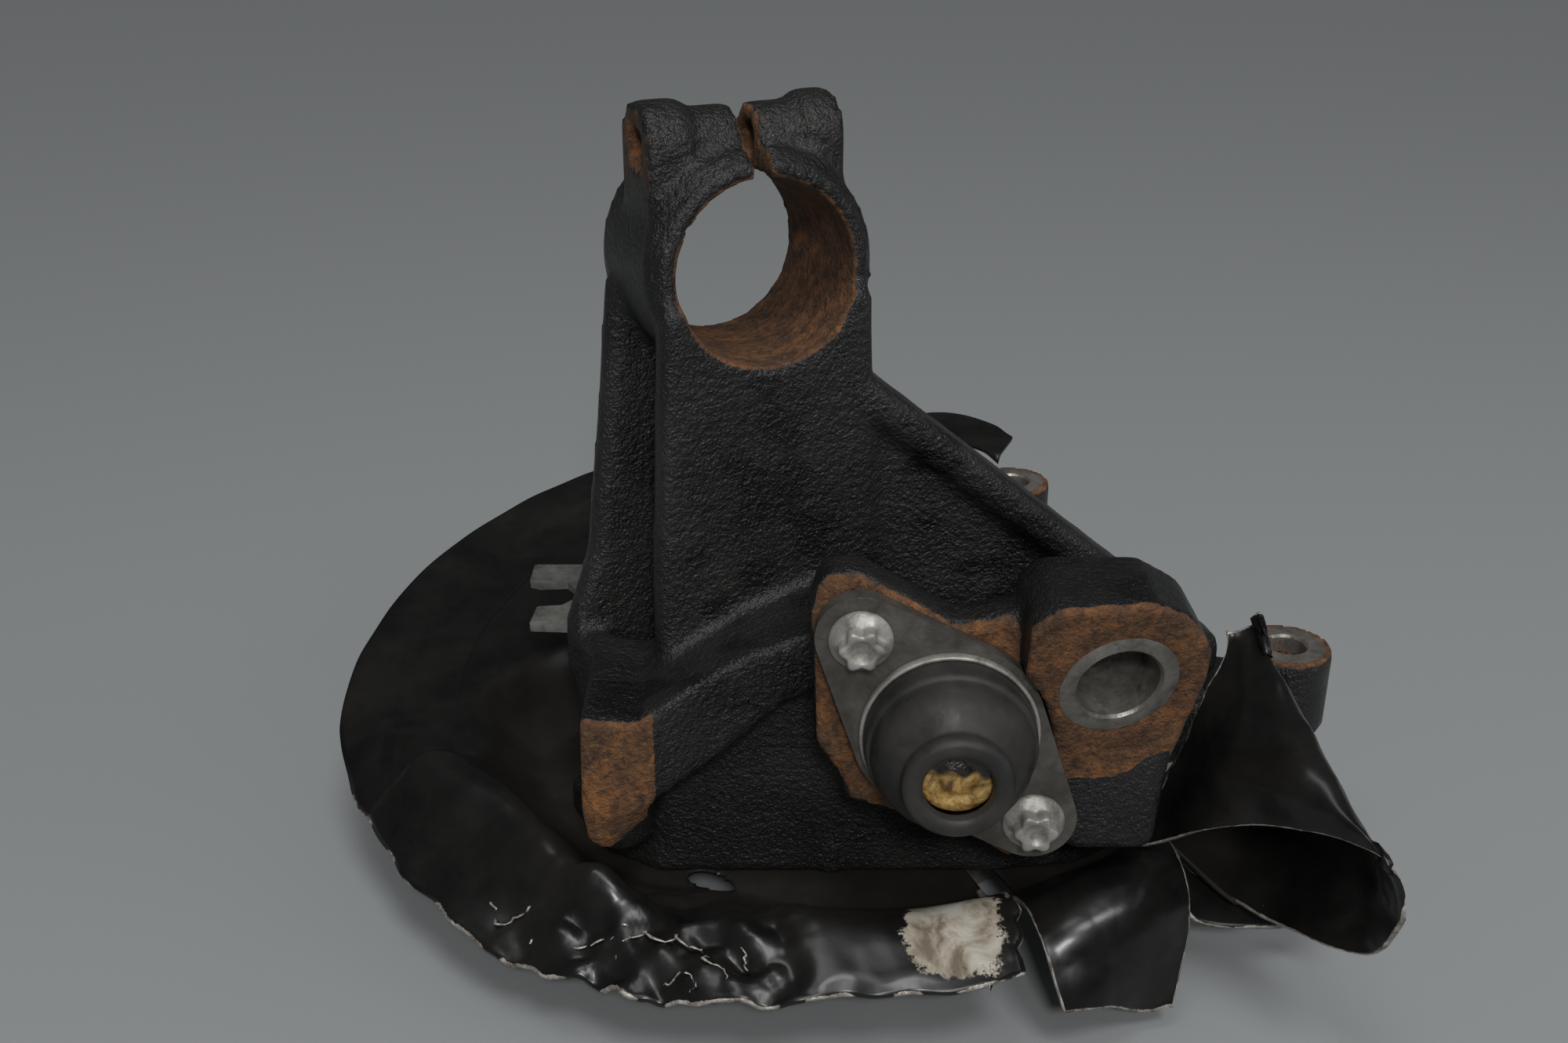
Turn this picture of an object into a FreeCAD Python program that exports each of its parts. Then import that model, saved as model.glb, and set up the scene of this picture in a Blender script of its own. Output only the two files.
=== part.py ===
"""Wheel hub carrier (steering knuckle) with its wheel bearing, hub, ball joint and torn dust shield.

Frame: millimetres, +Z up, origin on the wheel mounting face at the hub axis. The part lies with its
wheel side down, as on a bench: +Z is the inboard side, -Y is the side of the ball joint.
"""
import FreeCAD
import Part
import math
import os

V = FreeCAD.Vector

# Sealed wheel bearing: every radius follows from the outer one
BEARING_Z = 31.0
BEARING_LENGTH = 34.0
BEARING_R = 42.0
BEARING_EDGE = 1.0
OUTER_RING_T = 5.0
SEAL_WIDTH = 8.0
SEAL_T = 3.0
SEAL_OUTER_R = BEARING_R - OUTER_RING_T
SEAL_INNER_R = SEAL_OUTER_R - SEAL_WIDTH
SEAL_GAP = 0.08
RACE_SPLIT_R = SEAL_INNER_R + 3.0
RACE_GAP = 0.06
SNAP_RING_T = 2.0
SNAP_RING_W = 5.0
SNAP_RING_GAP_W = 14.0
SNAP_GROOVE = 1.8
SNAP_GAP = 0.3
CAP_R = BEARING_R - 5.0
CAP_T = 1.5
CAP_RISE = 4.0
CAP_STEP = 4.0

# Wheel hub: its shaft follows from the bearing's inner ring
INNER_RING_T = 8.0
HUB_SHAFT_R = SEAL_INNER_R - INNER_RING_T
HUB_CENTRE_R = HUB_SHAFT_R - 9.0
HUB_NECK_R = SEAL_INNER_R + 4.0
COLLAR_R = HUB_SHAFT_R + 4.0
COLLAR_H = 3.0
HUB_FLANGE_R = 66.0
HUB_FLANGE_T = 9.0
HUB_EDGE = 1.5
WHEEL_BOLT_COUNT = 5
WHEEL_BOLT_PCD = 108.0
WHEEL_BOLT_R = 6.0
FACE_RECESS_R = 30.0
FACE_RECESS_DEPTH = 3.0

# Knuckle casting, main levels
KNUCKLE_Z = 26.0
HUB_RING_R = BEARING_R + 11.0
HUB_RING_TOP = 73.0
FLOOR_T = 10.0
WALL_TOP = 95.0
BORE_GAP = 0.05
BOLT_GAP = 0.5
PRESS_GAP = 0.02

# Neck and strut clamp, drawn in a frame turned about the hub axis
STRUT_YAW = 22.0
STRUT_PITCH = 3.0
PLATE_FACE_V = -49.0
PLATE_T = 10.0
REAR_FLANGE_V = -13.0
REAR_FLANGE_T = 10.0
NECK_WEB_W = 18.0
NECK_TOP_Z = 207.0
CLAMP_U = -50.5
CLAMP_Z = 213.5
CLAMP_BORE_R = 26.5
CLAMP_LIP_R = 31.3
CLAMP_LIP_SET = 3.0
CLAMP_BODY_R = 34.0
CLAMP_BODY_SET = 7.0
CLAMP_END_V = 1.0
SPLIT_W = 4.7
EAR_V = -24.0
EAR_Z = 246.0
EAR_BOSS_R = 13.0
EAR_WAIST_R = 10.5
LEFT_EAR_U = -81.0
LEFT_BOSS_W = 13.0
RIGHT_EAR_U = -23.0
RIGHT_BOSS_W = 11.0
PINCH_HOLE_R = 6.0
PINCH_THREAD_R = 5.1

# Gusset web on the right of the neck
WEB_START = (4.0, -45.0)
WEB_END = (114.0, -25.0)
WEB_TOP_START = 176.0
WEB_TOP_END = 83.0
WEB_T = 9.0
WEB_CAP_T = 16.0
WEB_CAP_H = 11.0

# Caliper ears
EAR_CENTRES = ((142.0, -21.0), (68.0, 119.0))
CALIPER_FACE_Z = 75.0
CALIPER_BOSS_R = 14.8
CALIPER_BOSS_H = 26.0
CALIPER_HOLE_R = 6.5
CALIPER_SPOT_R = 12.5
CALIPER_SPOT_DEPTH = 0.8
ARM_T = 14.0

# Ball joint and its seat
JOINT_X = 20.6
JOINT_Z = 98.4
JOINT_BOLT_REACH = 38.2
JOINT_TILT = 49.3
PAD_FACE_Y = -110.0
PLATE_W = 5.0
JOINT_LOBE_R = 12.5
JOINT_BODY_R = 20.0
JOINT_PLUG_DEPTH = 24.0
JOINT_BALL_R = 13.0
BALL_SET = 2.0
JOINT_PLATE_R = 27.0
PLATE_GAP = 0.4
LINER_T = 1.6
JOINT_BOLT_R = 5.0
JOINT_BOLT_GRIP = 22.0
JOINT_HOLE_DEPTH = 26.0
JOINT_HEAD_R = 8.8
JOINT_HEAD_H = 8.0
BOLT_LOBES = 10
THREAD_GAP = 0.05
PAD_T = 14.0
HOUSING_BACK_Y = -66.0
BOOT_R = 23.2
BOOT_LENGTH = 30.0
BOOT_TIP_R = 13.0
BOOT_HOLE_R = 9.5
BOOT_WALL = 2.2
RING_WIRE_R = 0.9

# Second ball-pin boss beside the ball joint
PIN_BOSS = (66.6, -115.0, 113.0)
PIN_BOSS_YAW = 10.0
PIN_BOSS_PITCH = 14.0
PIN_BOSS_BACK_Y = -90.0
PIN_BORE_R = 12.0
PIN_SPOT_R = 17.0
PIN_SPOT_DEPTH = 0.8

# Line bracket on the left
BRACKET_Z = 84.0
BRACKET_T = 2.5
BRACKET_POST = (-72.0, -4.0)
BRACKET_POST_R = 9.0
BRACKET_BOLT_R = 4.0
BRACKET_BOLT_LENGTH = 20.0
BRACKET_HEAD_R = 7.5
BRACKET_HEAD_H = 7.0

# Dust shield
SHIELD_T = 1.5
SHIELD_R = 177.0
SHIELD_HOLE_R = 48.0
SHIELD_FLAT_R = 84.0
SHIELD_RAMP = 26.0
SHIELD_START = 63.5
SHIELD_LIFT = 18.0
LOBE_COLUMN = 7
SHIELD_END = 292.0
SHIELD_STEPS = 35
SHIELD_TRIM = 34.0
LEFT_ANGLE = 188.0
TRIM_SPAN = 80.0
LOBE_ROUNDING = 20.0
REAR_FLAT_EXTRA = 34.0
LEFT_FLAT_EXTRA = 24.0
TEAR_X = 42.5
FRONT_FLAT_R = 97.0
FRONT_BULGE = 6.0
STEP_END = 200.0
STEP_R = 136.0
STEP_W = 2.0
STEP_DROP = 3.0
SECOND_STEP_R = 157.0
SECOND_STEP = 2.0
ROLL_CREST_R = 154.0
ROLL_DRIFT = 27.0
ROLL_W = 13.0
ROLL_RISE = 9.0
ROLL_DROP = 9.0
SHIELD_LEVEL = 49.0
SHIELD_TILT = 0.141
SHIELD_SCREW_R = 3.0
SHIELD_SCREW_LENGTH = 8.0
SHIELD_HEAD_R = 5.5
SHIELD_HEAD_H = 3.0
SHIELD_SCREW_CIRCLE_R = 73.0
SHIELD_SCREW_ANGLES = (110.0, 185.0, 262.0)
SHIELD_SHARES = (0.0, 0.28, 0.4, 0.5, 0.58, 0.68, 0.71, 0.84, 0.87, 1.0)
SHIELD_OPENING_ANGLE = 239.0
SHIELD_OPENING_COLUMN = 2

# Points of the shield's crumpled right part, in rows from the flat ring outwards over the sheet's folds
TORN_ROWS = (
    ((43, -83, 24.5), (45, -97, 27), (47, -110, 33), (49, -120, 32), (51, -127, 26), (54, -132, 16)),
    ((58, -80, 24.5), (59, -92, 31), (61, -106, 38), (63, -117, 36), (65, -124, 27), (67, -129, 15)),
    ((73, -74, 24.5), (75, -86, 34), (77, -102, 42), (78, -113, 38), (79, -119, 25), (79, -121, 7)),
    ((86, -66, 24.5), (90, -78, 38), (93, -93, 41), (94, -103, 36), (93, -110, 22), (89, -118, 6)),
    ((93, -63, 24.5), (112, -98, 27), (138, -140, 42), (135, -154, 80), (108, -122, 72), (80, -91, 44)),
    ((98, -58, 24.5), (120, -88, 29), (137, -128, 56), (126, -138, 88), (101, -113, 78), (86, -83, 57)),
    ((101, -55, 24.5), (124, -76, 32), (134, -104, 60), (124, -116, 94), (104, -108, 89), (93, -79, 73)),
    ((103, -49, 24.5), (124, -62, 34), (130, -80, 66), (120, -90, 102), (109, -89, 99), (100, -77, 91)),
    ((104, -42, 24.5), (122, -48, 34), (126, -62, 72), (117, -70, 110), (113, -70, 109), (108, -72, 106)),
)
TORN_SPLIT_ROW = 3
TORN_SPLIT_COLUMN = 2

# Pairs of inner and outer points of the low strip beside the split, which passes under the folded part
LOW_STRIP = (
    ((96, -81, 31), (99, -97, 21)),
    ((108, -86, 24), (121, -99, 19)),
    ((122, -84, 22), (141, -96, 19)),
)


def outline(points, radius):
    """Closed flat wire through (x, y) points, every corner rounded to one radius."""
    count = len(points)
    starts = []
    ends = []
    middles = []
    for i in range(count):
        before = V(*points[i - 1], 0)
        corner = V(*points[i], 0)
        after = V(*points[(i + 1) % count], 0)
        to_before = (before - corner).normalize()
        to_after = (after - corner).normalize()
        half = to_before.getAngle(to_after) / 2
        back = radius / math.tan(half)
        inward = (to_before + to_after).normalize()
        starts.append(corner + to_before * back)
        ends.append(corner + to_after * back)
        middles.append(corner + inward * (radius / math.sin(half) - radius))
    edges = []
    for i in range(count):
        edges.append(Part.Arc(starts[i], middles[i], ends[i]).toShape())
        edges.append(Part.makeLine(ends[i], starts[(i + 1) % count]))
    return Part.Wire(edges)


def slab(points, radius, depth, edge=0.0):
    """Prism of a rounded outline from z = 0 to z = depth, its two rims bevelled when edge is given."""
    solid = Part.Face(outline(points, radius)).extrude(V(0, 0, depth))
    if edge > 0:
        rims = [e for e in solid.Edges if e.BoundBox.ZLength < 0.001]
        solid = solid.makeChamfer(edge, rims)
    return solid


def level(solid, z):
    """Moves a slab drawn in plan up to the height z."""
    solid.translate(V(0, 0, z))
    return solid


def upright(solid, back):
    """Stands a slab drawn as (x, z) on its edge: it then runs from y = back towards -Y."""
    solid.rotate(V(0, 0, 0), V(1, 0, 0), 90)
    solid.translate(V(0, back, 0))
    return solid


def in_strut_frame(solid):
    """Turns a solid drawn in the strut's own frame about the hub axis into place."""
    solid.rotate(V(0, 0, 0), V(0, 0, 1), STRUT_YAW)
    return solid


def rod(radius, start, end):
    """Round bar between two points."""
    along = V(*end) - V(*start)
    return Part.makeCylinder(radius, along.Length, V(*start), along)


def revolved(profile):
    """Solid of revolution about Z of a closed (r, z) profile."""
    points = [V(r, 0, z) for r, z in profile]
    face = Part.Face(Part.makePolygon(points + points[:1]))
    return face.revolve(V(0, 0, 0), V(0, 0, 1), 360)


def around(radius, count, phase=0.0):
    """Points evenly spaced round a circle about Z."""
    turns = [math.radians(phase + 360.0 * i / count) for i in range(count)]
    return [(radius * math.cos(t), radius * math.sin(t)) for t in turns]


def link(start, start_r, end, end_r, bottom, height):
    """Arm with two round ends, tangent between them, seen in plan."""
    a = V(*start, 0)
    b = V(*end, 0)
    gap = b - a
    lean = math.asin((start_r - end_r) / gap.Length)
    heading = math.atan2(gap.y, gap.x)
    left = heading + math.pi / 2 - lean
    right = heading - math.pi / 2 + lean
    a1 = a + V(math.cos(left), math.sin(left), 0) * start_r
    b1 = b + V(math.cos(left), math.sin(left), 0) * end_r
    a2 = a + V(math.cos(right), math.sin(right), 0) * start_r
    b2 = b + V(math.cos(right), math.sin(right), 0) * end_r
    far_b = b + V(math.cos(heading), math.sin(heading), 0) * end_r
    far_a = a - V(math.cos(heading), math.sin(heading), 0) * start_r
    wire = Part.Wire([
        Part.makeLine(a1, b1),
        Part.Arc(b1, far_b, b2).toShape(),
        Part.makeLine(b2, a2),
        Part.Arc(a2, far_a, a1).toShape(),
    ])
    solid = Part.Face(wire).extrude(V(0, 0, height))
    return level(solid, bottom)


def fuse(solids):
    """One solid from overlapping ones, with split faces merged."""
    whole = solids[0].multiFuse(solids[1:])
    return whole.removeSplitter()


# Wheel hub and bearing

def bearing_top():
    """Height of the inboard end of the bearing."""
    return BEARING_Z + BEARING_LENGTH


def tube(outer, inner, bottom, top):
    """Plain ring about the hub axis."""
    ring = Part.makeCylinder(outer, top - bottom, V(0, 0, bottom))
    return ring.cut(Part.makeCylinder(inner, top - bottom, V(0, 0, bottom)))


def bearing_outer_ring():
    """Outer ring of the sealed bearing, pressed into the knuckle, with a seat for each seal."""
    inner = RACE_SPLIT_R + RACE_GAP
    bottom = BEARING_Z
    top = bearing_top()
    profile = [
        (SEAL_OUTER_R, bottom),
        (BEARING_R - BEARING_EDGE, bottom),
        (BEARING_R, bottom + BEARING_EDGE),
        (BEARING_R, top - BEARING_EDGE),
        (BEARING_R - BEARING_EDGE, top),
        (SEAL_OUTER_R, top),
        (SEAL_OUTER_R, top - SEAL_T),
        (inner, top - SEAL_T),
        (inner, bottom + SEAL_T),
        (SEAL_OUTER_R, bottom + SEAL_T),
    ]
    return revolved(profile)


def bearing_inner_ring():
    """Inner ring, pressed on the hub's shaft and held by its rolled collar."""
    bottom = BEARING_Z
    top = bearing_top()
    inner = HUB_SHAFT_R + PRESS_GAP
    profile = [
        (inner, bottom),
        (SEAL_INNER_R, bottom),
        (SEAL_INNER_R, bottom + SEAL_T),
        (RACE_SPLIT_R, bottom + SEAL_T),
        (RACE_SPLIT_R, top - SEAL_T),
        (SEAL_INNER_R, top - SEAL_T),
        (SEAL_INNER_R, top),
        (inner, top),
    ]
    return revolved(profile)


def bearing_seal(z):
    """Lip seal pressed into the outer ring, with a running gap to the inner ring."""
    return tube(SEAL_OUTER_R, SEAL_INNER_R + SEAL_GAP, z, z + SEAL_T)


def bearing_snap_ring():
    """Open retaining ring in the knuckle's groove below the bearing."""
    outer = BEARING_R + SNAP_GROOVE - SNAP_GAP
    bottom = BEARING_Z - SNAP_RING_T
    ring = tube(outer, outer - SNAP_RING_W, bottom, BEARING_Z)
    opening = Part.makeBox(SNAP_RING_GAP_W, SNAP_RING_W * 4, SNAP_RING_T,
                           V(-SNAP_RING_GAP_W / 2, outer - SNAP_RING_W * 2, bottom))
    return ring.cut(opening)


def wheel_hub():
    """Wheel flange, neck, shaft and rolled collar, in one forging."""
    top = bearing_top()
    profile = [
        (HUB_CENTRE_R, 0),
        (HUB_FLANGE_R - HUB_EDGE, 0),
        (HUB_FLANGE_R, HUB_EDGE),
        (HUB_FLANGE_R, HUB_FLANGE_T - HUB_EDGE),
        (HUB_FLANGE_R - HUB_EDGE, HUB_FLANGE_T),
        (HUB_NECK_R + 7, HUB_FLANGE_T),
        (HUB_NECK_R + 2, HUB_FLANGE_T + 2),
        (HUB_NECK_R, HUB_FLANGE_T + 7),
        (HUB_NECK_R - 2, BEARING_Z - 5),
        (SEAL_INNER_R - 1, BEARING_Z),
        (HUB_SHAFT_R, BEARING_Z),
        (HUB_SHAFT_R, top),
        (COLLAR_R, top),
        (COLLAR_R, top + COLLAR_H * 0.4),
        (COLLAR_R - 2, top + COLLAR_H),
        (HUB_CENTRE_R + 3, top + COLLAR_H),
        (HUB_CENTRE_R, top),
    ]
    hub = revolved(profile)
    cutters = [Part.makeCylinder(FACE_RECESS_R, FACE_RECESS_DEPTH, V(0, 0, 0))]
    for x, y in around(WHEEL_BOLT_PCD / 2, WHEEL_BOLT_COUNT, 90):
        cutters.append(rod(WHEEL_BOLT_R, (x, y, -1), (x, y, HUB_FLANGE_T + 1)))
    return hub.cut(Part.makeCompound(cutters))


def cap_seat_z():
    """Height at which the rear cap stands on the knuckle's shoulder."""
    return bearing_top() + 4.0


def bearing_rear_cap():
    """Pressed steel cap that closes the bearing on the inboard side."""
    seat = cap_seat_z()
    profile = [
        (0, seat + CAP_RISE - CAP_T),
        (CAP_R - CAP_STEP - 3, seat + CAP_RISE - CAP_T),
        (CAP_R - CAP_STEP, seat),
        (CAP_R, seat),
        (CAP_R, seat + CAP_T),
        (CAP_R - CAP_STEP + 0.8, seat + CAP_T),
        (CAP_R - CAP_STEP - 2.2, seat + CAP_RISE),
        (0, seat + CAP_RISE),
    ]
    return revolved(profile)


def flange_bolt(shank_r, shank, head_r, head_h):
    """Bolt with its head underside at z = 0: shank below, collar and ten-point head above."""
    collar_t = head_h * 0.3
    tip = shank_r * 0.2
    profile = [(0, -shank - tip), (shank_r - tip, -shank - tip), (shank_r, -shank), (shank_r, 0),
               (head_r, 0), (head_r, collar_t * 0.4), (head_r * 0.78, collar_t), (0, collar_t)]
    points = []
    for i in range(2 * BOLT_LOBES):
        r = head_r * (0.66 if i % 2 else 0.54)
        turn = math.pi * i / BOLT_LOBES
        points.append(V(r * math.cos(turn), r * math.sin(turn), collar_t * 0.9))
    head = Part.Face(Part.makePolygon(points + points[:1])).extrude(V(0, 0, head_h - collar_t * 0.9))
    dish = Part.makeCylinder(head_r * 0.3, head_h, V(0, 0, head_h * 0.83))
    return revolved(profile).fuse(head).cut(dish).removeSplitter()


# Knuckle casting

def hub_ring():
    """Thick ring round the bearing and its rear cap."""
    top = HUB_RING_TOP
    profile = [(BEARING_R - 6, KNUCKLE_Z), (HUB_RING_R, KNUCKLE_Z), (HUB_RING_R, top - 12),
               (HUB_RING_R - 6, top), (BEARING_R - 6, top)]
    return revolved(profile)


def hub_bore_cutters():
    """Bearing bore up to its shoulder, snap ring groove and the cap's seat above the shoulder."""
    top = bearing_top()
    seat = cap_seat_z()
    return [
        Part.makeCylinder(BEARING_R + BORE_GAP, top - KNUCKLE_Z + 1, V(0, 0, KNUCKLE_Z - 1)),
        Part.makeCylinder(BEARING_R + SNAP_GROOVE, SNAP_RING_T + 0.1, V(0, 0, BEARING_Z - SNAP_RING_T - 0.1)),
        Part.makeCylinder(CAP_R - 3, seat - top + 1, V(0, 0, top - 0.5)),
        Part.makeCylinder(CAP_R + BORE_GAP, CAP_RISE + 5, V(0, 0, seat)),
    ]


def housing():
    """Floor and curved front wall that carry the neck, the arm root and the ball joint seat."""
    floor = [
        (-96, -42), (-84, -66), (-64, -80), (38, -80), (66, -74), (100, -50),
        (96, -16), (52, 14), (-60, 8),
    ]
    wall = [
        (-92, -48), (-80, -70), (-62, -80), (38, -80), (66, -76), (92, -58),
        (86, -48), (60, -64), (36, -69), (-57, -69), (-71, -60), (-82, -44),
    ]
    return [
        level(slab(floor, 7, FLOOR_T), KNUCKLE_Z),
        level(slab(wall, 3, WALL_TOP - KNUCKLE_Z), KNUCKLE_Z),
    ]


def arm_root():
    """Thick rim from the broken arm on the left up to the ball joint seat."""
    front = [
        (-83, 60), (-63, 68), (-43, 80), (-25, 95), (-10, 99),
        (-10, 120), (-18, 117), (-36, 112), (-54, 103), (-70, 94), (-83, 97),
    ]
    plan = [(-84, -106), (-65, -106), (-45, -99), (-18, -93), (-8, -92), (-8, -60), (-90, -52)]
    rim = upright(slab(front, 1.5, 70), -40)
    trim = level(slab(plan, 2.5, 100), KNUCKLE_Z)
    return rim.common(trim)


def arm_stub():
    """Stub of the arm that broke off; its end is the rough fracture face."""
    face = [(-83, 96), (-69, 96), (-64, 64), (-64, 51), (-73, 47.5), (-82, 54), (-84, 65)]
    stub = upright(slab(face, 2.5, 50), -55)
    chip = Part.makeBox(30, 8, 30, V(-92, -112, 34))
    chip.rotate(V(-80, -104, 50), V(1, 0, 1), 28)
    return stub.cut(chip)


def neck():
    """Channelled neck: front plate, set-back rear flange and the web between them."""
    plate = [(-85, 34), (-85.5, 120), (-82, NECK_TOP_Z), (-19, NECK_TOP_Z), (-14.5, 120), (-13, 34)]
    rear = [
        (-90, 34), (-95, 58), (-104, 80), (-103.5, 97), (-95.5, 120), (-89.5, 171),
        (-86, NECK_TOP_Z), (-18, NECK_TOP_Z), (-14, 120), (-10, 34),
    ]
    half = NECK_WEB_W / 2
    middle = [(CLAMP_U - half, 34), (CLAMP_U - half, NECK_TOP_Z - 14),
              (CLAMP_U + half, NECK_TOP_Z - 14), (CLAMP_U + half, 34)]
    front = upright(slab(plate, 3, PLATE_T, 2), PLATE_FACE_V + PLATE_T)
    back = upright(slab(rear, 4, REAR_FLANGE_T, 3), REAR_FLANGE_V + REAR_FLANGE_T)
    core = upright(slab(middle, 3, REAR_FLANGE_V - PLATE_FACE_V), REAR_FLANGE_V + 1)
    return [in_strut_frame(s) for s in (front, back, core)]


def strut_axis():
    """Unit vector along the strut bore, away from the front face."""
    pitch = math.radians(STRUT_PITCH)
    return V(0, math.cos(pitch), -math.sin(pitch))


def clamp_barrel(radius, first_v, last_v):
    """Length of the clamp's barrel between two stations along the strut axis."""
    axis = strut_axis()
    start = V(CLAMP_U, PLATE_FACE_V, CLAMP_Z) + axis * (first_v - PLATE_FACE_V)
    return Part.makeCylinder(radius, last_v - first_v, start, axis)


def pinch_ear(near_u, far_u, radius):
    """Rounded block above the barrel between two stations across the strut."""
    profile = [(EAR_V - radius, EAR_Z - 30), (EAR_V - radius, EAR_Z), (EAR_V + radius, EAR_Z),
               (EAR_V + radius, EAR_Z - 30)]
    corners = [V(near_u, v, z) for v, z in profile]
    top = V(near_u, EAR_V, EAR_Z + radius)
    wire = Part.Wire([
        Part.makeLine(corners[0], corners[1]),
        Part.Arc(corners[1], top, corners[2]).toShape(),
        Part.makeLine(corners[2], corners[3]),
        Part.makeLine(corners[3], corners[0]),
    ])
    return Part.Face(wire).extrude(V(far_u - near_u, 0, 0))


def strut_clamp():
    """Split clamp with a boss at each end of its pinch bolt."""
    barrel = [
        clamp_barrel(CLAMP_LIP_R, PLATE_FACE_V + CLAMP_LIP_SET, CLAMP_END_V + 3),
        clamp_barrel(CLAMP_BODY_R, PLATE_FACE_V + CLAMP_BODY_SET, CLAMP_END_V),
    ]
    ears = [
        pinch_ear(LEFT_EAR_U, LEFT_EAR_U + LEFT_BOSS_W, EAR_BOSS_R),
        pinch_ear(LEFT_EAR_U, RIGHT_EAR_U, EAR_WAIST_R),
        pinch_ear(RIGHT_EAR_U - RIGHT_BOSS_W, RIGHT_EAR_U, EAR_BOSS_R),
    ]
    return [in_strut_frame(s) for s in barrel + ears]


def clamp_cutters():
    """Strut bore, split and the two halves of the pinch bolt's hole."""
    bore = clamp_barrel(CLAMP_BORE_R, PLATE_FACE_V - 10, CLAMP_END_V + 20)
    split = Part.makeBox(SPLIT_W, 100, 70, V(CLAMP_U - SPLIT_W / 2, -70, CLAMP_Z + 10))
    plain = rod(PINCH_HOLE_R, (LEFT_EAR_U - 5, EAR_V, EAR_Z), (CLAMP_U, EAR_V, EAR_Z))
    tapped = rod(PINCH_THREAD_R, (CLAMP_U, EAR_V, EAR_Z), (RIGHT_EAR_U + 5, EAR_V, EAR_Z))
    return [in_strut_frame(s) for s in (bore, split, plain, tapped)]


def gusset_web():
    """Sloping web on the right of the neck, with a thicker cap along its top."""
    run = math.hypot(WEB_END[0] - WEB_START[0], WEB_END[1] - WEB_START[1])
    turn = math.degrees(math.atan2(WEB_END[1] - WEB_START[1], WEB_END[0] - WEB_START[0]))
    rise = (WEB_TOP_START - WEB_TOP_END) / run
    inside = -14.0
    start_z = WEB_TOP_START - rise * inside
    sheet = [(inside, 34), (inside, start_z), (run, WEB_TOP_END), (run, 40), (run - 8, 34)]
    cap = [(inside, start_z - WEB_CAP_H * 1.3), (inside, start_z), (run + 2, WEB_TOP_END - rise * 2),
           (run + 2, WEB_TOP_END - WEB_CAP_H * 1.6)]
    web = upright(slab(sheet, 2, WEB_T), WEB_T / 2)
    rim = upright(slab(cap, 3, WEB_CAP_T, 2.5), WEB_CAP_T / 2)
    for solid in (web, rim):
        solid.rotate(V(0, 0, 0), V(0, 0, 1), turn)
        solid.translate(V(*WEB_START, 0))
    return [web, rim]


def caliper_ears():
    """Two arms that end in the bosses for the brake caliper's bolts."""
    roots = ((62.0, -14.0), (32.0, 42.0))
    solids = []
    for root, ear in zip(roots, EAR_CENTRES):
        solids.append(link(root, 27, ear, CALIPER_BOSS_R, CALIPER_FACE_Z - CALIPER_BOSS_H - 2, ARM_T))
        boss = Part.makeCylinder(CALIPER_BOSS_R, CALIPER_BOSS_H, V(*ear, CALIPER_FACE_Z - CALIPER_BOSS_H))
        solids.append(boss)
    return solids


def caliper_cutters():
    """Hole and shallow spot face of each caliper boss."""
    cutters = []
    for x, y in EAR_CENTRES:
        cutters.append(rod(CALIPER_HOLE_R, (x, y, 20), (x, y, CALIPER_FACE_Z + 5)))
        cutters.append(Part.makeCylinder(CALIPER_SPOT_R, 5, V(x, y, CALIPER_FACE_Z - CALIPER_SPOT_DEPTH)))
    return cutters


def joint_pad():
    """Block behind the ball joint: a machined lobe in front, a lower root behind it."""
    face = [
        (-18, 134), (-15, 144), (-5, 145), (22, 129), (40, 133), (53, 84), (54, 56),
        (40, 52), (32, 58), (-6, 76), (-16, 90),
    ]
    root = [(-12, 104), (50, 108), (51, 66), (34, 60), (-8, 72)]
    depth = HOUSING_BACK_Y - PAD_FACE_Y
    return [
        upright(slab(face, 4.5, PAD_T, 1), PAD_FACE_Y + PAD_T),
        upright(slab(root, 4, depth - 1), PAD_FACE_Y + depth),
    ]


def place_on_pin_boss(solid):
    """Turns a solid drawn upright at the origin to the slant of the second boss."""
    solid.rotate(V(0, 0, 0), V(1, 0, 0), PIN_BOSS_PITCH)
    solid.rotate(V(0, 0, 0), V(0, 0, 1), PIN_BOSS_YAW)
    solid.translate(V(*PIN_BOSS))
    return solid


def pin_boss():
    """Boss for a second ball pin, its slanted mouth to the front, with a lower root behind it."""
    face = [
        (40, 86), (40, 136), (47, 141), (73, 141), (85, 134), (92, 122), (92, 112), (86, 84), (54, 80),
    ]
    root = [(54, 103), (86, 101), (82, 54), (56, 54)]
    front = -135.0
    block = upright(slab(face, 5, PIN_BOSS_BACK_Y - front), PIN_BOSS_BACK_Y)
    trim = place_on_pin_boss(Part.makeBox(120, 40, 120, V(-60, -40, -60)))
    block = block.cut(trim)
    return [block, upright(slab(root, 4, HOUSING_BACK_Y + 108), HOUSING_BACK_Y)]


def pin_boss_cutters():
    """Bore and spot face of the second boss."""
    bore = rod(PIN_BORE_R, (0, -5, 0), (0, 60, 0))
    spot = rod(PIN_SPOT_R, (0, -5, 0), (0, PIN_SPOT_DEPTH, 0))
    return [place_on_pin_boss(bore), place_on_pin_boss(spot)]


def joint_bolt_places():
    """(x, z) of the ball joint's two bolts, upper left first."""
    lean = math.radians(JOINT_TILT)
    dx = JOINT_BOLT_REACH * math.cos(lean)
    dz = JOINT_BOLT_REACH * math.sin(lean)
    return [(JOINT_X - dx, JOINT_Z + dz), (JOINT_X + dx, JOINT_Z - dz)]


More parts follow.
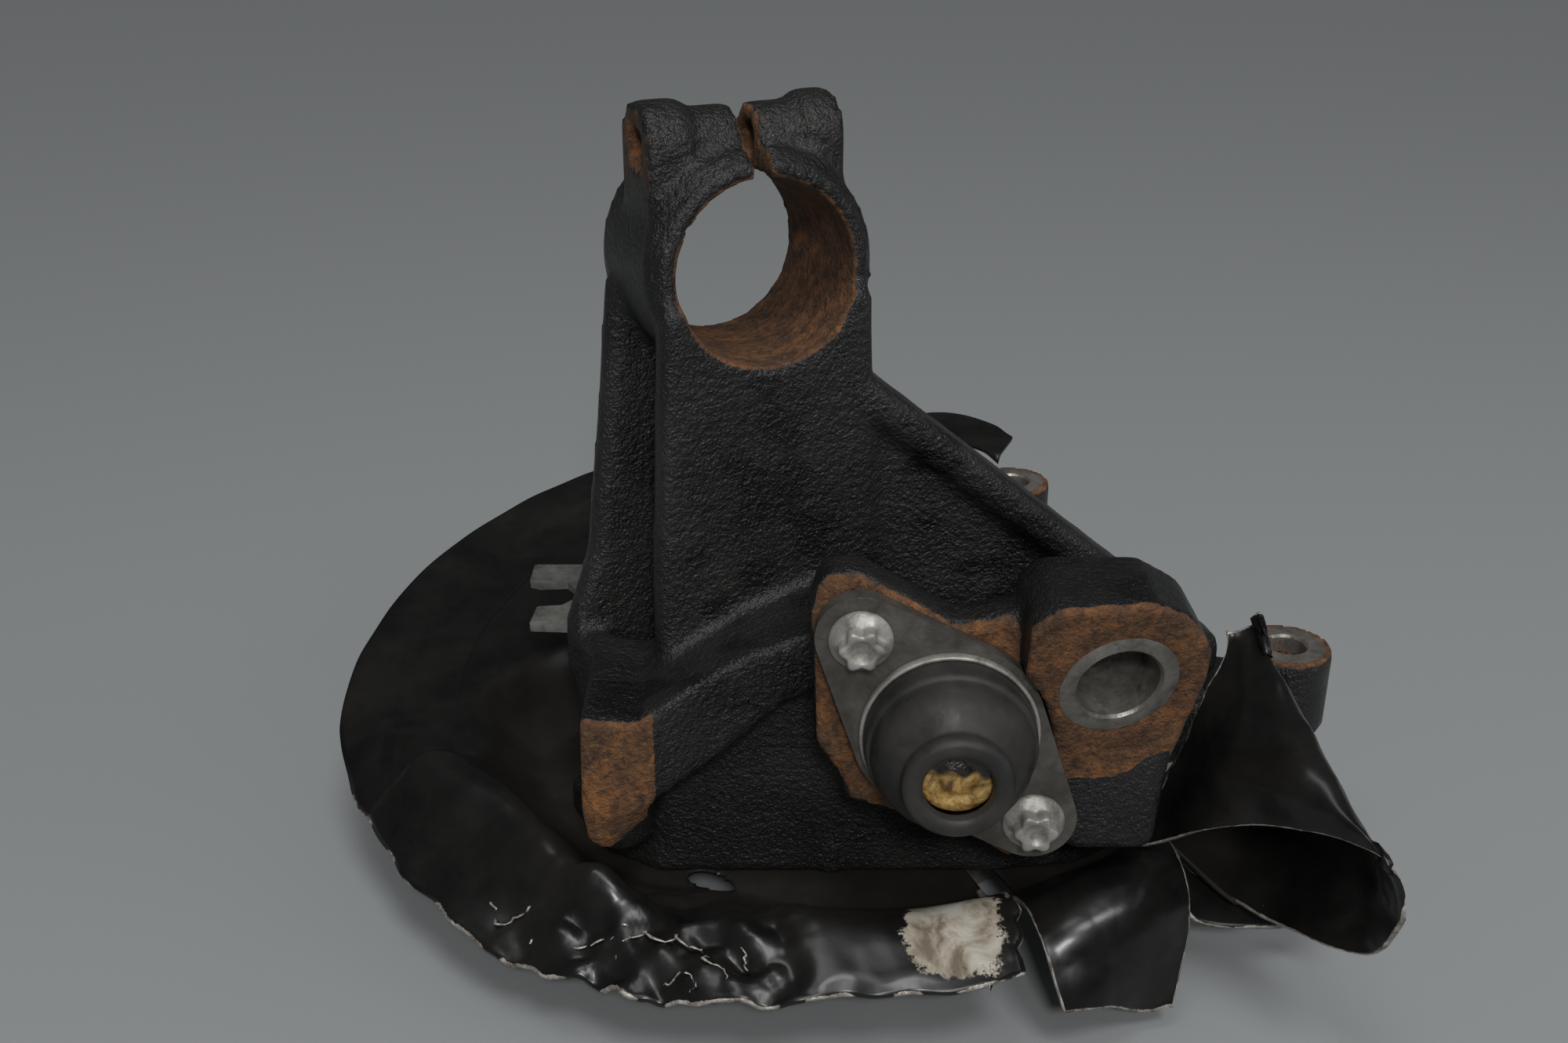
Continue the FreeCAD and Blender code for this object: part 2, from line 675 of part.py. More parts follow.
def joint_cutters():
    """Pocket for the ball joint and its two threaded holes."""
    cutters = [rod(JOINT_BODY_R + BORE_GAP, (JOINT_X, PAD_FACE_Y - 5, JOINT_Z),
                   (JOINT_X, PAD_FACE_Y + JOINT_PLUG_DEPTH + 0.3, JOINT_Z))]
    for x, z in joint_bolt_places():
        cutters.append(rod(JOINT_BOLT_R, (x, PAD_FACE_Y - 5, z), (x, PAD_FACE_Y + JOINT_HOLE_DEPTH, z)))
        cutters.append(joint_plate_half(x, z, PLATE_GAP, PLATE_W * 5))
    return cutters


def joint_plate_half(x, z, margin, depth):
    """Half of the ball joint's plate: a round middle drawn out to the lobe of one bolt."""
    half = link((JOINT_X, JOINT_Z), JOINT_PLATE_R + margin, (x, z), JOINT_LOBE_R + margin, 0, depth)
    return upright(half, PAD_FACE_Y)


def shield_lugs():
    """Small pads under which the dust shield's screws end."""
    lugs = []
    for angle in SHIELD_SCREW_ANGLES:
        x, y = around(SHIELD_SCREW_CIRCLE_R, 1, angle)[0]
        lugs.append(link((x * 0.7, y * 0.7), 12, (x, y), 8.5, KNUCKLE_Z, 10))
    return lugs


def screw_cutters():
    """Threaded holes for the dust shield's screws."""
    cutters = []
    for x, y in around_angles(SHIELD_SCREW_CIRCLE_R, SHIELD_SCREW_ANGLES):
        cutters.append(rod(SHIELD_SCREW_R, (x, y, KNUCKLE_Z - 1), (x, y, KNUCKLE_Z + SHIELD_SCREW_LENGTH + 1)))
    return cutters


def around_angles(radius, angles):
    """Points at chosen angles round a circle about Z."""
    return [(radius * math.cos(math.radians(a)), radius * math.sin(math.radians(a))) for a in angles]


def bracket_post():
    """Post on the housing floor that carries the line bracket."""
    top = BRACKET_Z
    return Part.makeCylinder(BRACKET_POST_R, top - KNUCKLE_Z, V(*BRACKET_POST, KNUCKLE_Z))


def knuckle_casting():
    """The whole casting, with its machined bores."""
    solids = [hub_ring(), arm_root(), arm_stub(), bracket_post()]
    solids += housing() + neck() + strut_clamp() + gusset_web() + caliper_ears() + shield_lugs()
    solids += joint_pad() + pin_boss()
    body = solids[0].multiFuse(solids[1:])
    cutters = clamp_cutters() + caliper_cutters() + pin_boss_cutters() + joint_cutters()
    cutters += screw_cutters() + hub_bore_cutters()
    hole_bottom = BRACKET_Z - BRACKET_BOLT_LENGTH - 2
    cutters.append(rod(BRACKET_BOLT_R, (*BRACKET_POST, hole_bottom), (*BRACKET_POST, BRACKET_Z + 1)))
    body = body.cut(Part.makeCompound(cutters))
    return body.removeSplitter()


# Ball joint

def joint_turn(profile):
    """Solid of revolution about the ball joint's axis; profile is (radius, distance in front of the pad)."""
    solid = revolved(profile)
    solid.rotate(V(0, 0, 0), V(1, 0, 0), 90)
    solid.translate(V(JOINT_X, PAD_FACE_Y, JOINT_Z))
    return solid


def ball_joint_housing():
    """Bolted plate with the socket body behind it and the boot's seat in front."""
    discs = []
    for x, z in joint_bolt_places():
        discs.append(joint_plate_half(x, z, 0, PLATE_W))
    discs.append(joint_turn([(0, -JOINT_PLUG_DEPTH), (JOINT_BODY_R - 3, -JOINT_PLUG_DEPTH),
                             (JOINT_BODY_R, -JOINT_PLUG_DEPTH + 3), (JOINT_BODY_R, PLATE_W),
                             (BOOT_R - 2.5, PLATE_W), (BOOT_R - 2.5, PLATE_W + 5), (0, PLATE_W + 5)]))
    body = fuse(discs)
    ball = Part.makeSphere(JOINT_BALL_R + LINER_T, V(JOINT_X, PAD_FACE_Y - BALL_SET, JOINT_Z))
    mouth = rod(JOINT_BALL_R, (JOINT_X, PAD_FACE_Y - PLATE_W - 9, JOINT_Z), (JOINT_X, PAD_FACE_Y, JOINT_Z))
    cutters = [ball, mouth]
    for x, z in joint_bolt_places():
        cutters.append(rod(JOINT_BOLT_R + BOLT_GAP, (x, PAD_FACE_Y - 20, z), (x, PAD_FACE_Y + 5, z)))
    return body.cut(Part.makeCompound(cutters)).removeSplitter()


def ball_joint_socket_liner():
    """Liner of the empty ball socket."""
    centre = V(JOINT_X, PAD_FACE_Y - BALL_SET, JOINT_Z)
    shell = Part.makeSphere(JOINT_BALL_R + LINER_T - PRESS_GAP, centre)
    shell = shell.cut(Part.makeSphere(JOINT_BALL_R, centre))
    front = rod(40, (JOINT_X, PAD_FACE_Y - 60, JOINT_Z), (JOINT_X, PAD_FACE_Y - 8, JOINT_Z))
    return shell.cut(front)


def ball_joint_boot():
    """Rubber boot with a rolled lip round its empty mouth."""
    base = PLATE_W + 0.2
    tip = PLATE_W + BOOT_LENGTH
    outer = [(BOOT_R - 0.4, base), (BOOT_R, base + 3), (BOOT_R + 0.6, base + 9), (BOOT_R - 0.6, base + 14),
             (BOOT_R - 4.5, base + 20), (BOOT_TIP_R + 1.6, base + 24), (BOOT_TIP_R, base + 26),
             (BOOT_TIP_R, tip - 1), (BOOT_TIP_R - 1, tip)]
    inner = [(BOOT_HOLE_R + 1, tip), (BOOT_HOLE_R, tip - 1.2), (BOOT_HOLE_R, tip - 4),
             (BOOT_TIP_R - 0.8, base + 22), (BOOT_R - 4.5 - BOOT_WALL, base + 17),
             (BOOT_R - 0.6 - BOOT_WALL, base + 11), (BOOT_R - BOOT_WALL, base + 6),
             (BOOT_R - 2.5 + 0.1, base + 5.2), (BOOT_R - 2.5 + 0.1, base)]
    return joint_turn(outer + inner)


def boot_retaining_ring():
    """Wire ring that holds the boot's base."""
    middle = PLATE_W + 2
    profile = []
    for i in range(6):
        turn = math.radians(60 * i)
        profile.append((BOOT_R + RING_WIRE_R * (1 + math.cos(turn)), middle + RING_WIRE_R * math.sin(turn)))
    return joint_turn(profile)


def joint_bolt(place):
    """Flange bolt of the ball joint at an (x, z) place."""
    bolt = flange_bolt(JOINT_BOLT_R - THREAD_GAP, PLATE_W + JOINT_BOLT_GRIP, JOINT_HEAD_R, JOINT_HEAD_H)
    bolt.rotate(V(0, 0, 0), V(1, 0, 0), 90)
    bolt.translate(V(place[0], PAD_FACE_Y - PLATE_W, place[1]))
    return bolt


# Line bracket

def line_bracket():
    """Forked plate for a brake or sensor line, bent up at its prongs."""
    fork = [
        (-62, -14), (-62, 6), (-84, 16), (-112, 16), (-112, 3), (-108, 1), (-99, 2), (-95, -4),
        (-95, -10), (-99, -15), (-107, -16), (-108, -29), (-92, -30), (-80, -18),
    ]
    plate = level(slab(fork, 1.2, BRACKET_T), BRACKET_Z)
    hole = rod(BRACKET_BOLT_R + BOLT_GAP, (*BRACKET_POST, BRACKET_Z - 1), (*BRACKET_POST, BRACKET_Z + 5))
    return plate.cut(hole)


def line_bracket_bolt():
    """Screw that holds the line bracket on its post."""
    bolt = flange_bolt(BRACKET_BOLT_R - THREAD_GAP, BRACKET_BOLT_LENGTH, BRACKET_HEAD_R, BRACKET_HEAD_H)
    bolt.translate(V(*BRACKET_POST, BRACKET_Z + BRACKET_T))
    return bolt


# Dust shield

def shield_rim(angle):
    """Radius of what is left of the shield's rim at an angle about the hub axis."""
    trim = min(1.0, max(0.0, (angle - LEFT_ANGLE) / TRIM_SPAN))
    rounding = LOBE_ROUNDING * (1 - blend(angle, SHIELD_START - 2, SHIELD_START + 15))
    return SHIELD_R - rounding - SHIELD_TRIM * trim


def blend(value, low, high):
    """Smooth step from 0 at low to 1 at high."""
    share = min(1.0, max(0.0, (value - low) / (high - low)))
    return share * share * (3 - 2 * share)


def shield_flat(angle):
    """Radius up to which the sheet lies flat: wider under the rear arm and under the front wall."""
    rear = REAR_FLAT_EXTRA * (1 - blend(angle, 85, 115))
    left = LEFT_FLAT_EXTRA * blend(angle, 165, LEFT_ANGLE)
    front = (SHIELD_FLAT_R + left - FRONT_FLAT_R) * blend(angle, 228, 246)
    return SHIELD_FLAT_R + rear + left - front


def shield_roll(r, angle):
    """Change of height at the left front, where the rim is rolled over a crest and down again."""
    crest = ROLL_CREST_R - ROLL_DRIFT * blend(angle, 192, 220)
    share = blend(angle, 186, 196) * (1 - blend(angle, 228, 242))
    rise = ROLL_RISE * math.exp(-((r - crest) / ROLL_W) ** 2)
    return share * (rise - ROLL_DROP * blend(r, crest + 2, shield_rim(angle)))


def shield_height(r, angle):
    """Height of the sheet's underside: flat at the casting, then stepped up to its bent outer plane."""
    y = r * math.sin(math.radians(angle))
    outer = SHIELD_LEVEL + SHIELD_TILT * y + SHIELD_LIFT * (1 - blend(angle, SHIELD_START, 95))
    flat_r = shield_flat(angle)
    rise = blend(r, flat_r, flat_r + SHIELD_RAMP)
    flat = KNUCKLE_Z - SHIELD_T
    step = 0.0
    if angle < STEP_END:
        first = blend(r, STEP_R, STEP_R + STEP_W)
        second = blend(r, SECOND_STEP_R, SECOND_STEP_R + STEP_W)
        step = SECOND_STEP * second - STEP_DROP * first
    span = max(0.0, r - FRONT_FLAT_R) / (shield_rim(angle) - FRONT_FLAT_R)
    bulge = FRONT_BULGE * math.sin(math.pi * span) ** 2 * blend(angle, 236, 252)
    return flat + (outer + step + shield_roll(r, angle) - flat) * rise + bulge


def sheet_solid(points, triangles, thickness):
    """Closed thin solid: a net of triangles, thickened along its normals, with its open edges walled."""
    lifts = [V(0, 0, 0) for p in points]
    for a, b, c in triangles:
        normal = (points[b] - points[a]).cross(points[c] - points[a])
        for corner in (a, b, c):
            lifts[corner] += normal
    tops = []
    for point, lift in zip(points, lifts):
        tops.append(point + lift.normalize() * thickness if lift.Length > 0 else point)
    faces = []
    sides = {}
    for a, b, c in triangles:
        faces.append((tops[a], tops[b], tops[c]))
        faces.append((points[a], points[c], points[b]))
        for edge in ((a, b), (b, c), (c, a)):
            back = (edge[1], edge[0])
            if back in sides:
                del sides[back]
            else:
                sides[edge] = True
    for a, b in sides:
        faces.append((points[a], points[b], tops[b]))
        faces.append((points[a], tops[b], tops[a]))
    flat = [Part.Face(Part.makePolygon([p, q, r, p])) for p, q, r in faces]
    shell = Part.makeShell(flat)
    shell.sewShape()
    return Part.makeSolid(shell)


def grid_triangles(first, rows, columns, missing):
    """Two triangles for each cell of a grid, counter-clockwise seen from +Z, but none for a missing cell."""
    triangles = []
    for i in range(rows - 1):
        for j in range(columns - 1):
            if missing(i, j):
                continue
            a = first + i * columns + j
            b = a + columns
            triangles.append((a, a + 1, b + 1))
            triangles.append((a, b + 1, b))
    return triangles


def round_points():
    """Net of what is still round, from the back right over the left to the tear at the front."""
    points = []
    for i in range(SHIELD_STEPS + 1):
        angle = SHIELD_START + (SHIELD_END - SHIELD_START) * i / SHIELD_STEPS
        rim = shield_rim(angle)
        for share in SHIELD_SHARES:
            r = SHIELD_HOLE_R + (rim - SHIELD_HOLE_R) * share
            x = r * math.cos(math.radians(angle))
            y = r * math.sin(math.radians(angle))
            points.append(V(min(x, TEAR_X) if angle > 270 else x, y, shield_height(r, angle)))
    return points


def ladder_triangles(inner, outer):
    """Two triangles for each cell between two chains of points, turned as those of a grid."""
    triangles = []
    for i in range(len(inner) - 1):
        triangles.append((inner[i], outer[i], outer[i + 1]))
        triangles.append((inner[i], outer[i + 1], inner[i + 1]))
    return triangles


def torn_points():
    """Net of the crumpled right part, each row begun at the rim of the middle hole."""
    points = []
    for row in TORN_ROWS:
        outward = V(row[0][0], row[0][1], 0).normalize()
        points.append(outward * SHIELD_HOLE_R + V(0, 0, KNUCKLE_Z - SHIELD_T))
        points += [V(*place) for place in row]
    return points


def shield_panel():
    """Both nets, joined at the flat ring beside the tear, and the low strip by the split."""
    points = round_points()
    columns = len(SHIELD_SHARES)
    torn_first = len(points)
    last = torn_first - columns
    hole_row = round((SHIELD_OPENING_ANGLE - SHIELD_START) / (SHIELD_END - SHIELD_START) * SHIELD_STEPS)
    triangles = grid_triangles(0, SHIELD_STEPS + 1, columns,
                               lambda i, j: (i == hole_row and j == SHIELD_OPENING_COLUMN)
                               or (i == 0 and j < LOBE_COLUMN))
    points += torn_points()
    triangles += grid_triangles(torn_first, len(TORN_ROWS), len(TORN_ROWS[0]) + 1,
                                lambda i, j: i == TORN_SPLIT_ROW and j >= TORN_SPLIT_COLUMN)
    triangles += [(last, last + 1, torn_first), (last + 1, torn_first + 1, torn_first),
                  (last + 1, last + 2, torn_first + 1)]
    strip_first = len(points)
    points += [V(*place) for pair in LOW_STRIP for place in pair]
    split = torn_first + TORN_SPLIT_ROW * (len(TORN_ROWS[0]) + 1) + TORN_SPLIT_COLUMN
    inner = [split] + list(range(strip_first, len(points), 2))
    outer = [split + 1] + list(range(strip_first + 1, len(points), 2))
    triangles += ladder_triangles(inner, outer)
    return sheet_solid(points, triangles, SHIELD_T)


def dust_shield():
    """Crash-torn dust shield with its screw holes."""
    holes = []
    for x, y in around_angles(SHIELD_SCREW_CIRCLE_R, SHIELD_SCREW_ANGLES):
        holes.append(rod(SHIELD_SCREW_R + BOLT_GAP, (x, y, 0), (x, y, KNUCKLE_Z + 1)))
    return shield_panel().cut(Part.makeCompound(holes))


def shield_screws():
    """Low-headed screws under the dust shield."""
    screws = []
    for x, y in around_angles(SHIELD_SCREW_CIRCLE_R, SHIELD_SCREW_ANGLES):
        seat = KNUCKLE_Z - SHIELD_T
        shank = Part.makeCylinder(SHIELD_SCREW_R - THREAD_GAP, SHIELD_SCREW_LENGTH + SHIELD_T, V(x, y, seat))
        head = Part.makeCone(SHIELD_HEAD_R - 0.9, SHIELD_HEAD_R, SHIELD_HEAD_H, V(x, y, seat - SHIELD_HEAD_H))
        screws.append(shank.fuse(head))
    return Part.makeCompound(screws)


def export(name, shape):
    """Writes one node."""
    shape.exportStep(os.path.join("parts", name + ".step"))
    print(name, "valid" if shape.isValid() else "INVALID", len(shape.Solids), round(shape.Volume))


def main():
    """Writes every node of the part."""
    os.makedirs("parts", exist_ok=True)
    upper, lower = joint_bolt_places()
    nodes = {
        "knuckle_casting": knuckle_casting(),
        "bearing_outer_ring": bearing_outer_ring(),
        "bearing_inner_ring": bearing_inner_ring(),
        "wheel_hub_flange": wheel_hub(),
        "bearing_snap_ring": bearing_snap_ring(),
        "bearing_rear_cap": bearing_rear_cap(),
        "bearing_seal_outboard": bearing_seal(BEARING_Z),
        "bearing_seal_inboard": bearing_seal(bearing_top() - SEAL_T),
        "ball_joint_housing": ball_joint_housing(),
        "ball_joint_socket_liner": ball_joint_socket_liner(),
        "ball_joint_boot": ball_joint_boot(),
        "boot_retaining_ring": boot_retaining_ring(),
        "ball_joint_bolt_upper": joint_bolt(upper),
        "ball_joint_bolt_lower": joint_bolt(lower),
        "line_bracket": line_bracket(),
        "line_bracket_bolt": line_bracket_bolt(),
        "dust_shield": dust_shield(),
        "shield_screws": shield_screws(),
    }
    for name, shape in nodes.items():
        export(name, shape)


main()
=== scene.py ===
# %% [markdown]
# # A crash-damaged steering knuckle with its wheel hub
# The part is a sand-cast carrier, painted black, with rust wherever the paint is gone. Bolted to it are
# a ball joint with a rubber boot and a forked line bracket, and under it hangs a torn sheet-metal
# shield. The solids come from the frame. This lesson gives them the skin, the creases and the finishes
# that make them look real. Every length is in metres, and the hub's axis is Z.

# %% Tools and frame
import math
import bmesh
import bpy
import numpy as np
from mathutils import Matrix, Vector


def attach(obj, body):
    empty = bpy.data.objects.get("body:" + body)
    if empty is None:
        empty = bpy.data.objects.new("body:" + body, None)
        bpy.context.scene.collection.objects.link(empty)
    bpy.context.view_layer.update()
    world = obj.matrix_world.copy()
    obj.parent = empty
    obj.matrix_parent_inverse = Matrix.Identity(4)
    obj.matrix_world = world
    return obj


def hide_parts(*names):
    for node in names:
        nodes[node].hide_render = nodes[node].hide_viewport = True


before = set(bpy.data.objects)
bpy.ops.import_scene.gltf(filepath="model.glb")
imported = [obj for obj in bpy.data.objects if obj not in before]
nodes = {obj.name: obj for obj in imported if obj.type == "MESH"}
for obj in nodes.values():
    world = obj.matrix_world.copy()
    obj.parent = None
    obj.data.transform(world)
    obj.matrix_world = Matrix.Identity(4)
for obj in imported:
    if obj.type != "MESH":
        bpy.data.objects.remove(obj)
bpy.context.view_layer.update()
MM = 0.001

# %% [markdown]
# ## Meshes from arrays
# A surface is a grid of points, rows by columns, worked out at once with numpy. Quads join each point
# to its neighbours. A grid can close on itself in either direction, as a turned shape does round its
# axis. Working with whole arrays keeps every shape a formula that can be read and changed.

# %% Grid surfaces
def grid_quads(rows, columns, close_rows=False, close_columns=False):
    """Corner numbers of each quad: (i, j), (i, j+1), (i+1, j+1), (i+1, j), wrapped where closed."""
    i = np.arange(rows if close_rows else rows - 1)
    j = np.arange(columns if close_columns else columns - 1)
    i, j = np.meshgrid(i, j, indexing="ij")
    i2, j2 = (i + 1) % rows, (j + 1) % columns
    corners = [i * columns + j, i * columns + j2, i2 * columns + j2, i2 * columns + j]
    return np.stack(corners, -1).reshape(-1, 4)


def mesh_object(name, points, faces, smooth=True):
    """New object of points (n, 3) in metres and faces (m, 3 or 4)."""
    mesh = bpy.data.meshes.new(name)
    mesh.from_pydata(points.reshape(-1, 3).tolist(), [], faces.tolist())
    mesh.update()
    mesh.polygons.foreach_set("use_smooth", np.full(len(mesh.polygons), smooth))
    made = bpy.data.objects.new(name, mesh)
    bpy.context.scene.collection.objects.link(made)
    return made


def paint_attribute(piece, name, values):
    """Stores one number for each vertex, for a material to read."""
    attribute = piece.data.attributes.new(name, "FLOAT", "POINT")
    attribute.data.foreach_set("value", np.asarray(values, np.float32))


def vertices_of(mesh):
    """Vertex places as an (n, 3) array."""
    places = np.empty(len(mesh.vertices) * 3)
    mesh.vertices.foreach_get("co", places)
    return places.reshape(-1, 3)


def dress(piece, body, material, *stands_for):
    """Gives a piece its finish and its body, and hides the solids that it stands for."""
    piece.data.materials.clear()
    piece.data.materials.append(material)
    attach(piece, body)
    if stands_for:
        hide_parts(*stands_for)
    print(piece.name, "-", len(piece.data.polygons), "faces")


print("grid of 3 by 4 points:", len(grid_quads(3, 4)), "quads")

# %% [markdown]
# ## Smooth steps, waves and creases
# Paint wear, dents and torn edges all need a number that wanders without a pattern. A few sine waves
# in odd directions, added up, wander well enough and give the same result on every run. Taking the
# absolute value of each wave gives sharp valleys instead, as creased sheet metal has.

# %% Wandering numbers
def blend(value, low, high):
    """Smooth step: 0 below low, 1 above high, 3s^2 - 2s^3 between."""
    share = np.clip((value - low) / (high - low), 0, 1)
    return share * share * (3 - 2 * share)


def wander(points, length, seed, waves=7, crease=False):
    """Sum of sine waves of about that length in random directions, scaled to about -1..1."""
    chance = np.random.default_rng(seed)
    directions = chance.normal(size=(waves, points.shape[-1]))
    directions /= np.linalg.norm(directions, axis=1, keepdims=True)
    lengths = length * chance.uniform(0.6, 1.7, waves)
    phases = chance.uniform(0, 2 * np.pi, waves)
    angle = points @ (directions / lengths[:, None]).T * 2 * np.pi + phases
    wave = 1 - 2 * np.abs(np.sin(angle / 2)) if crease else np.sin(angle)
    return wave.sum(-1) / math.sqrt(waves)


print("wander of 5 points:", np.round(wander(np.eye(5, 3), 0.5, 1), 2))

# %% [markdown]
# ## Materials
# Each finish is a small net of nodes: noise in several sizes for stains and grain, a ramp that turns
# the noise into colours, and a bump for the relief. A short helper class keeps the nets readable. The
# noise reads Object coordinates, which stay fixed on the part when it is moved.

# %% A helper for node nets
class Finish:
    """A material under construction; each call adds one node and returns its output."""

    def __init__(self, name, slot, coat=0.0, coat_roughness=0.1, specular=0.5):
        self.material = bpy.data.materials.new(name)
        self.material["slot"] = slot
        self.material.use_nodes = True
        self.tree = self.material.node_tree
        self.shader = self.tree.nodes["Principled BSDF"]
        self.shader.inputs["Coat Weight"].default_value = coat
        self.shader.inputs["Coat Roughness"].default_value = coat_roughness
        self.shader.inputs["Specular IOR Level"].default_value = specular
        self.place = self.tree.nodes.new("ShaderNodeTexCoord").outputs["Object"]

    def feed(self, socket, value):
        """Links an output to an input, or sets the input to a plain value."""
        if isinstance(value, bpy.types.NodeSocket):
            self.tree.links.new(value, socket)
        elif isinstance(value, tuple) and len(value) == 3:
            socket.default_value = (*value, 1)
        else:
            socket.default_value = value

    def noise(self, size, detail=3.0, rough=0.55, distortion=0.0):
        """Noise with features of about that size in metres."""
        node = self.tree.nodes.new("ShaderNodeTexNoise")
        node.inputs["Scale"].default_value = 1 / size
        node.inputs["Detail"].default_value = detail
        node.inputs["Roughness"].default_value = rough
        node.inputs["Distortion"].default_value = distortion
        self.tree.links.new(self.place, node.inputs["Vector"])
        return node.outputs["Fac"]

    def painted(self, name):
        """A number stored on the piece's vertices."""
        node = self.tree.nodes.new("ShaderNodeAttribute")
        node.attribute_name = name
        return node.outputs["Fac"]

    def ramp(self, value, *stops):
        """Colours at positions: (position, (r, g, b)) or (position, grey)."""
        node = self.tree.nodes.new("ShaderNodeValToRGB")
        elements = node.color_ramp.elements
        while len(elements) < len(stops):
            elements.new(0.5)
        for element, (position, colour) in zip(elements, stops):
            element.position = position
            element.color = (*(colour if isinstance(colour, tuple) else (colour,) * 3), 1)
        self.tree.links.new(value, node.inputs["Fac"])
        return node.outputs["Color"]

    def sum(self, operation, a, b, c=None):
        """One step of arithmetic."""
        node = self.tree.nodes.new("ShaderNodeMath")
        node.operation = operation
        self.feed(node.inputs[0], a)
        self.feed(node.inputs[1], b)
        if c is not None:
            self.feed(node.inputs[2], c)
        return node.outputs[0]

    def mix(self, share, a, b):
        """Colour a where share is 0, b where it is 1."""
        node = self.tree.nodes.new("ShaderNodeMix")
        node.data_type = "RGBA"
        self.feed(node.inputs[0], share)
        self.feed(node.inputs[6], a)
        self.feed(node.inputs[7], b)
        return node.outputs[2]

    def bump(self, height, distance, strength=1.0, under=None):
        """Relief of that height in metres."""
        node = self.tree.nodes.new("ShaderNodeBump")
        node.inputs["Strength"].default_value = strength
        node.inputs["Distance"].default_value = distance
        self.tree.links.new(height, node.inputs["Height"])
        if under is not None:
            self.tree.links.new(under, node.inputs["Normal"])
        return node.outputs["Normal"]

    def frayed(self, name, size, rough, gain, offset, low, high):
        """Share from 0 to 1 out of a number on the vertices, its border frayed by noise."""
        fray = self.sum("MULTIPLY_ADD", self.noise(size, 6, rough), gain, offset)
        return self.ramp(self.sum("ADD", self.painted(name), fray), (low, 0), (high, 1))

    def finish(self, **inputs):
        """Feeds the shader's named inputs and returns the material."""
        for name, value in inputs.items():
            self.feed(self.shader.inputs[name.replace("_", " ")], value)
        return self.material


# %% [markdown]
# ### Black cast paint over iron, with rust
# The casting is dipped in thin black paint, so the sand's grain shows through it and catches the light.
# Faces that were machined or broken have no paint: they have rusted orange and brown. A number painted
# on the vertices says where the bare faces are, and noise frays its border. Small chips of rust sit in
# the paint as well, and old oil has left darker patches.

# %% Cast paint
def rust_colour(net):
    """Brown with orange patches, dark pits and a pale dusty film."""
    rust = net.ramp(net.noise(0.011, 6, 0.65, 0.8),
                    (0.32, (0.050, 0.024, 0.012)), (0.50, (0.110, 0.050, 0.021)),
                    (0.64, (0.190, 0.078, 0.024)), (0.74, (0.29, 0.110, 0.028)))
    pits = net.ramp(net.noise(0.0030, 5, 0.7, 0.3), (0.46, 0), (0.62, 0.8))
    rust = net.mix(pits, rust, (0.030, 0.017, 0.010))
    film = net.ramp(net.noise(0.0016, 4, 0.6), (0.55, 0), (0.72, 0.5))
    return net.mix(film, rust, (0.17, 0.112, 0.060))


def cast_paint():
    net = Finish("black_cast_paint", "cast_black", specular=0.42)
    grain = net.noise(0.0008, 2, 0.6)
    lumps = net.noise(0.0019, 3, 0.55)
    coarse = net.noise(0.007, 4, 0.6)
    stain = net.ramp(net.noise(0.045, 5, 0.6, 0.8), (0.42, 0), (0.62, 1))
    paint = net.mix(stain, (0.0075, 0.0073, 0.0073), (0.0150, 0.0145, 0.0140))
    oil = net.painted("oil")
    paint = net.mix(net.sum("MULTIPLY", oil, 0.85), paint, (0.0030, 0.0030, 0.0032))
    dust = net.ramp(net.noise(0.0040, 6, 0.72), (0.55, 0), (0.70, 0.5))
    paint = net.mix(net.sum("MULTIPLY", dust, 0.30), paint, (0.062, 0.052, 0.042))
    bare = net.frayed("rust", 0.008, 0.7, 0.7, -0.35, 0.45, 0.56)
    chips = net.ramp(net.noise(0.012, 5, 0.7, 0.3), (0.745, 0), (0.765, 0.9))
    bare = net.sum("MAXIMUM", bare, chips)
    colour = net.mix(bare, paint, rust_colour(net))
    steel = net.ramp(net.painted("steel"), (0.45, 0), (0.6, 1))
    worn = net.ramp(net.noise(0.012, 4), (0.35, (0.16, 0.145, 0.11)), (0.7, (0.36, 0.34, 0.29)))
    colour = net.mix(steel, colour, worn)
    gloss = net.ramp(coarse, (0.3, 0.30), (0.7, 0.44))
    gloss = net.mix(net.sum("MULTIPLY", oil, 0.7), gloss, (0.30, 0.30, 0.30))
    gloss = net.mix(bare, gloss, (0.88, 0.88, 0.88))
    relief = net.bump(coarse, 0.0006, 0.4)
    relief = net.bump(lumps, 0.0011, 0.9, relief)
    relief = net.bump(grain, 0.0006, 0.9, relief)
    metal = net.sum("MULTIPLY", steel, 0.75)
    return net.finish(Base_Color=colour, Roughness=gloss, Metallic=metal, Normal=relief)


black_cast_paint = cast_paint()
print(black_cast_paint.name, "-", len(black_cast_paint.node_tree.nodes), "nodes")

# %% [markdown]
# ### Gloss paint on sheet metal, torn and scraped
# The shield is thin steel with smooth black gloss paint. Where it tore, the paint flaked off and a
# bright, rough metal edge shows. Road dust dulls the flat part near the casting. Numbers on the vertices
# say where: "torn" for bare metal, "dust" for the dull zone, "scrape" for the patch that lost its paint.

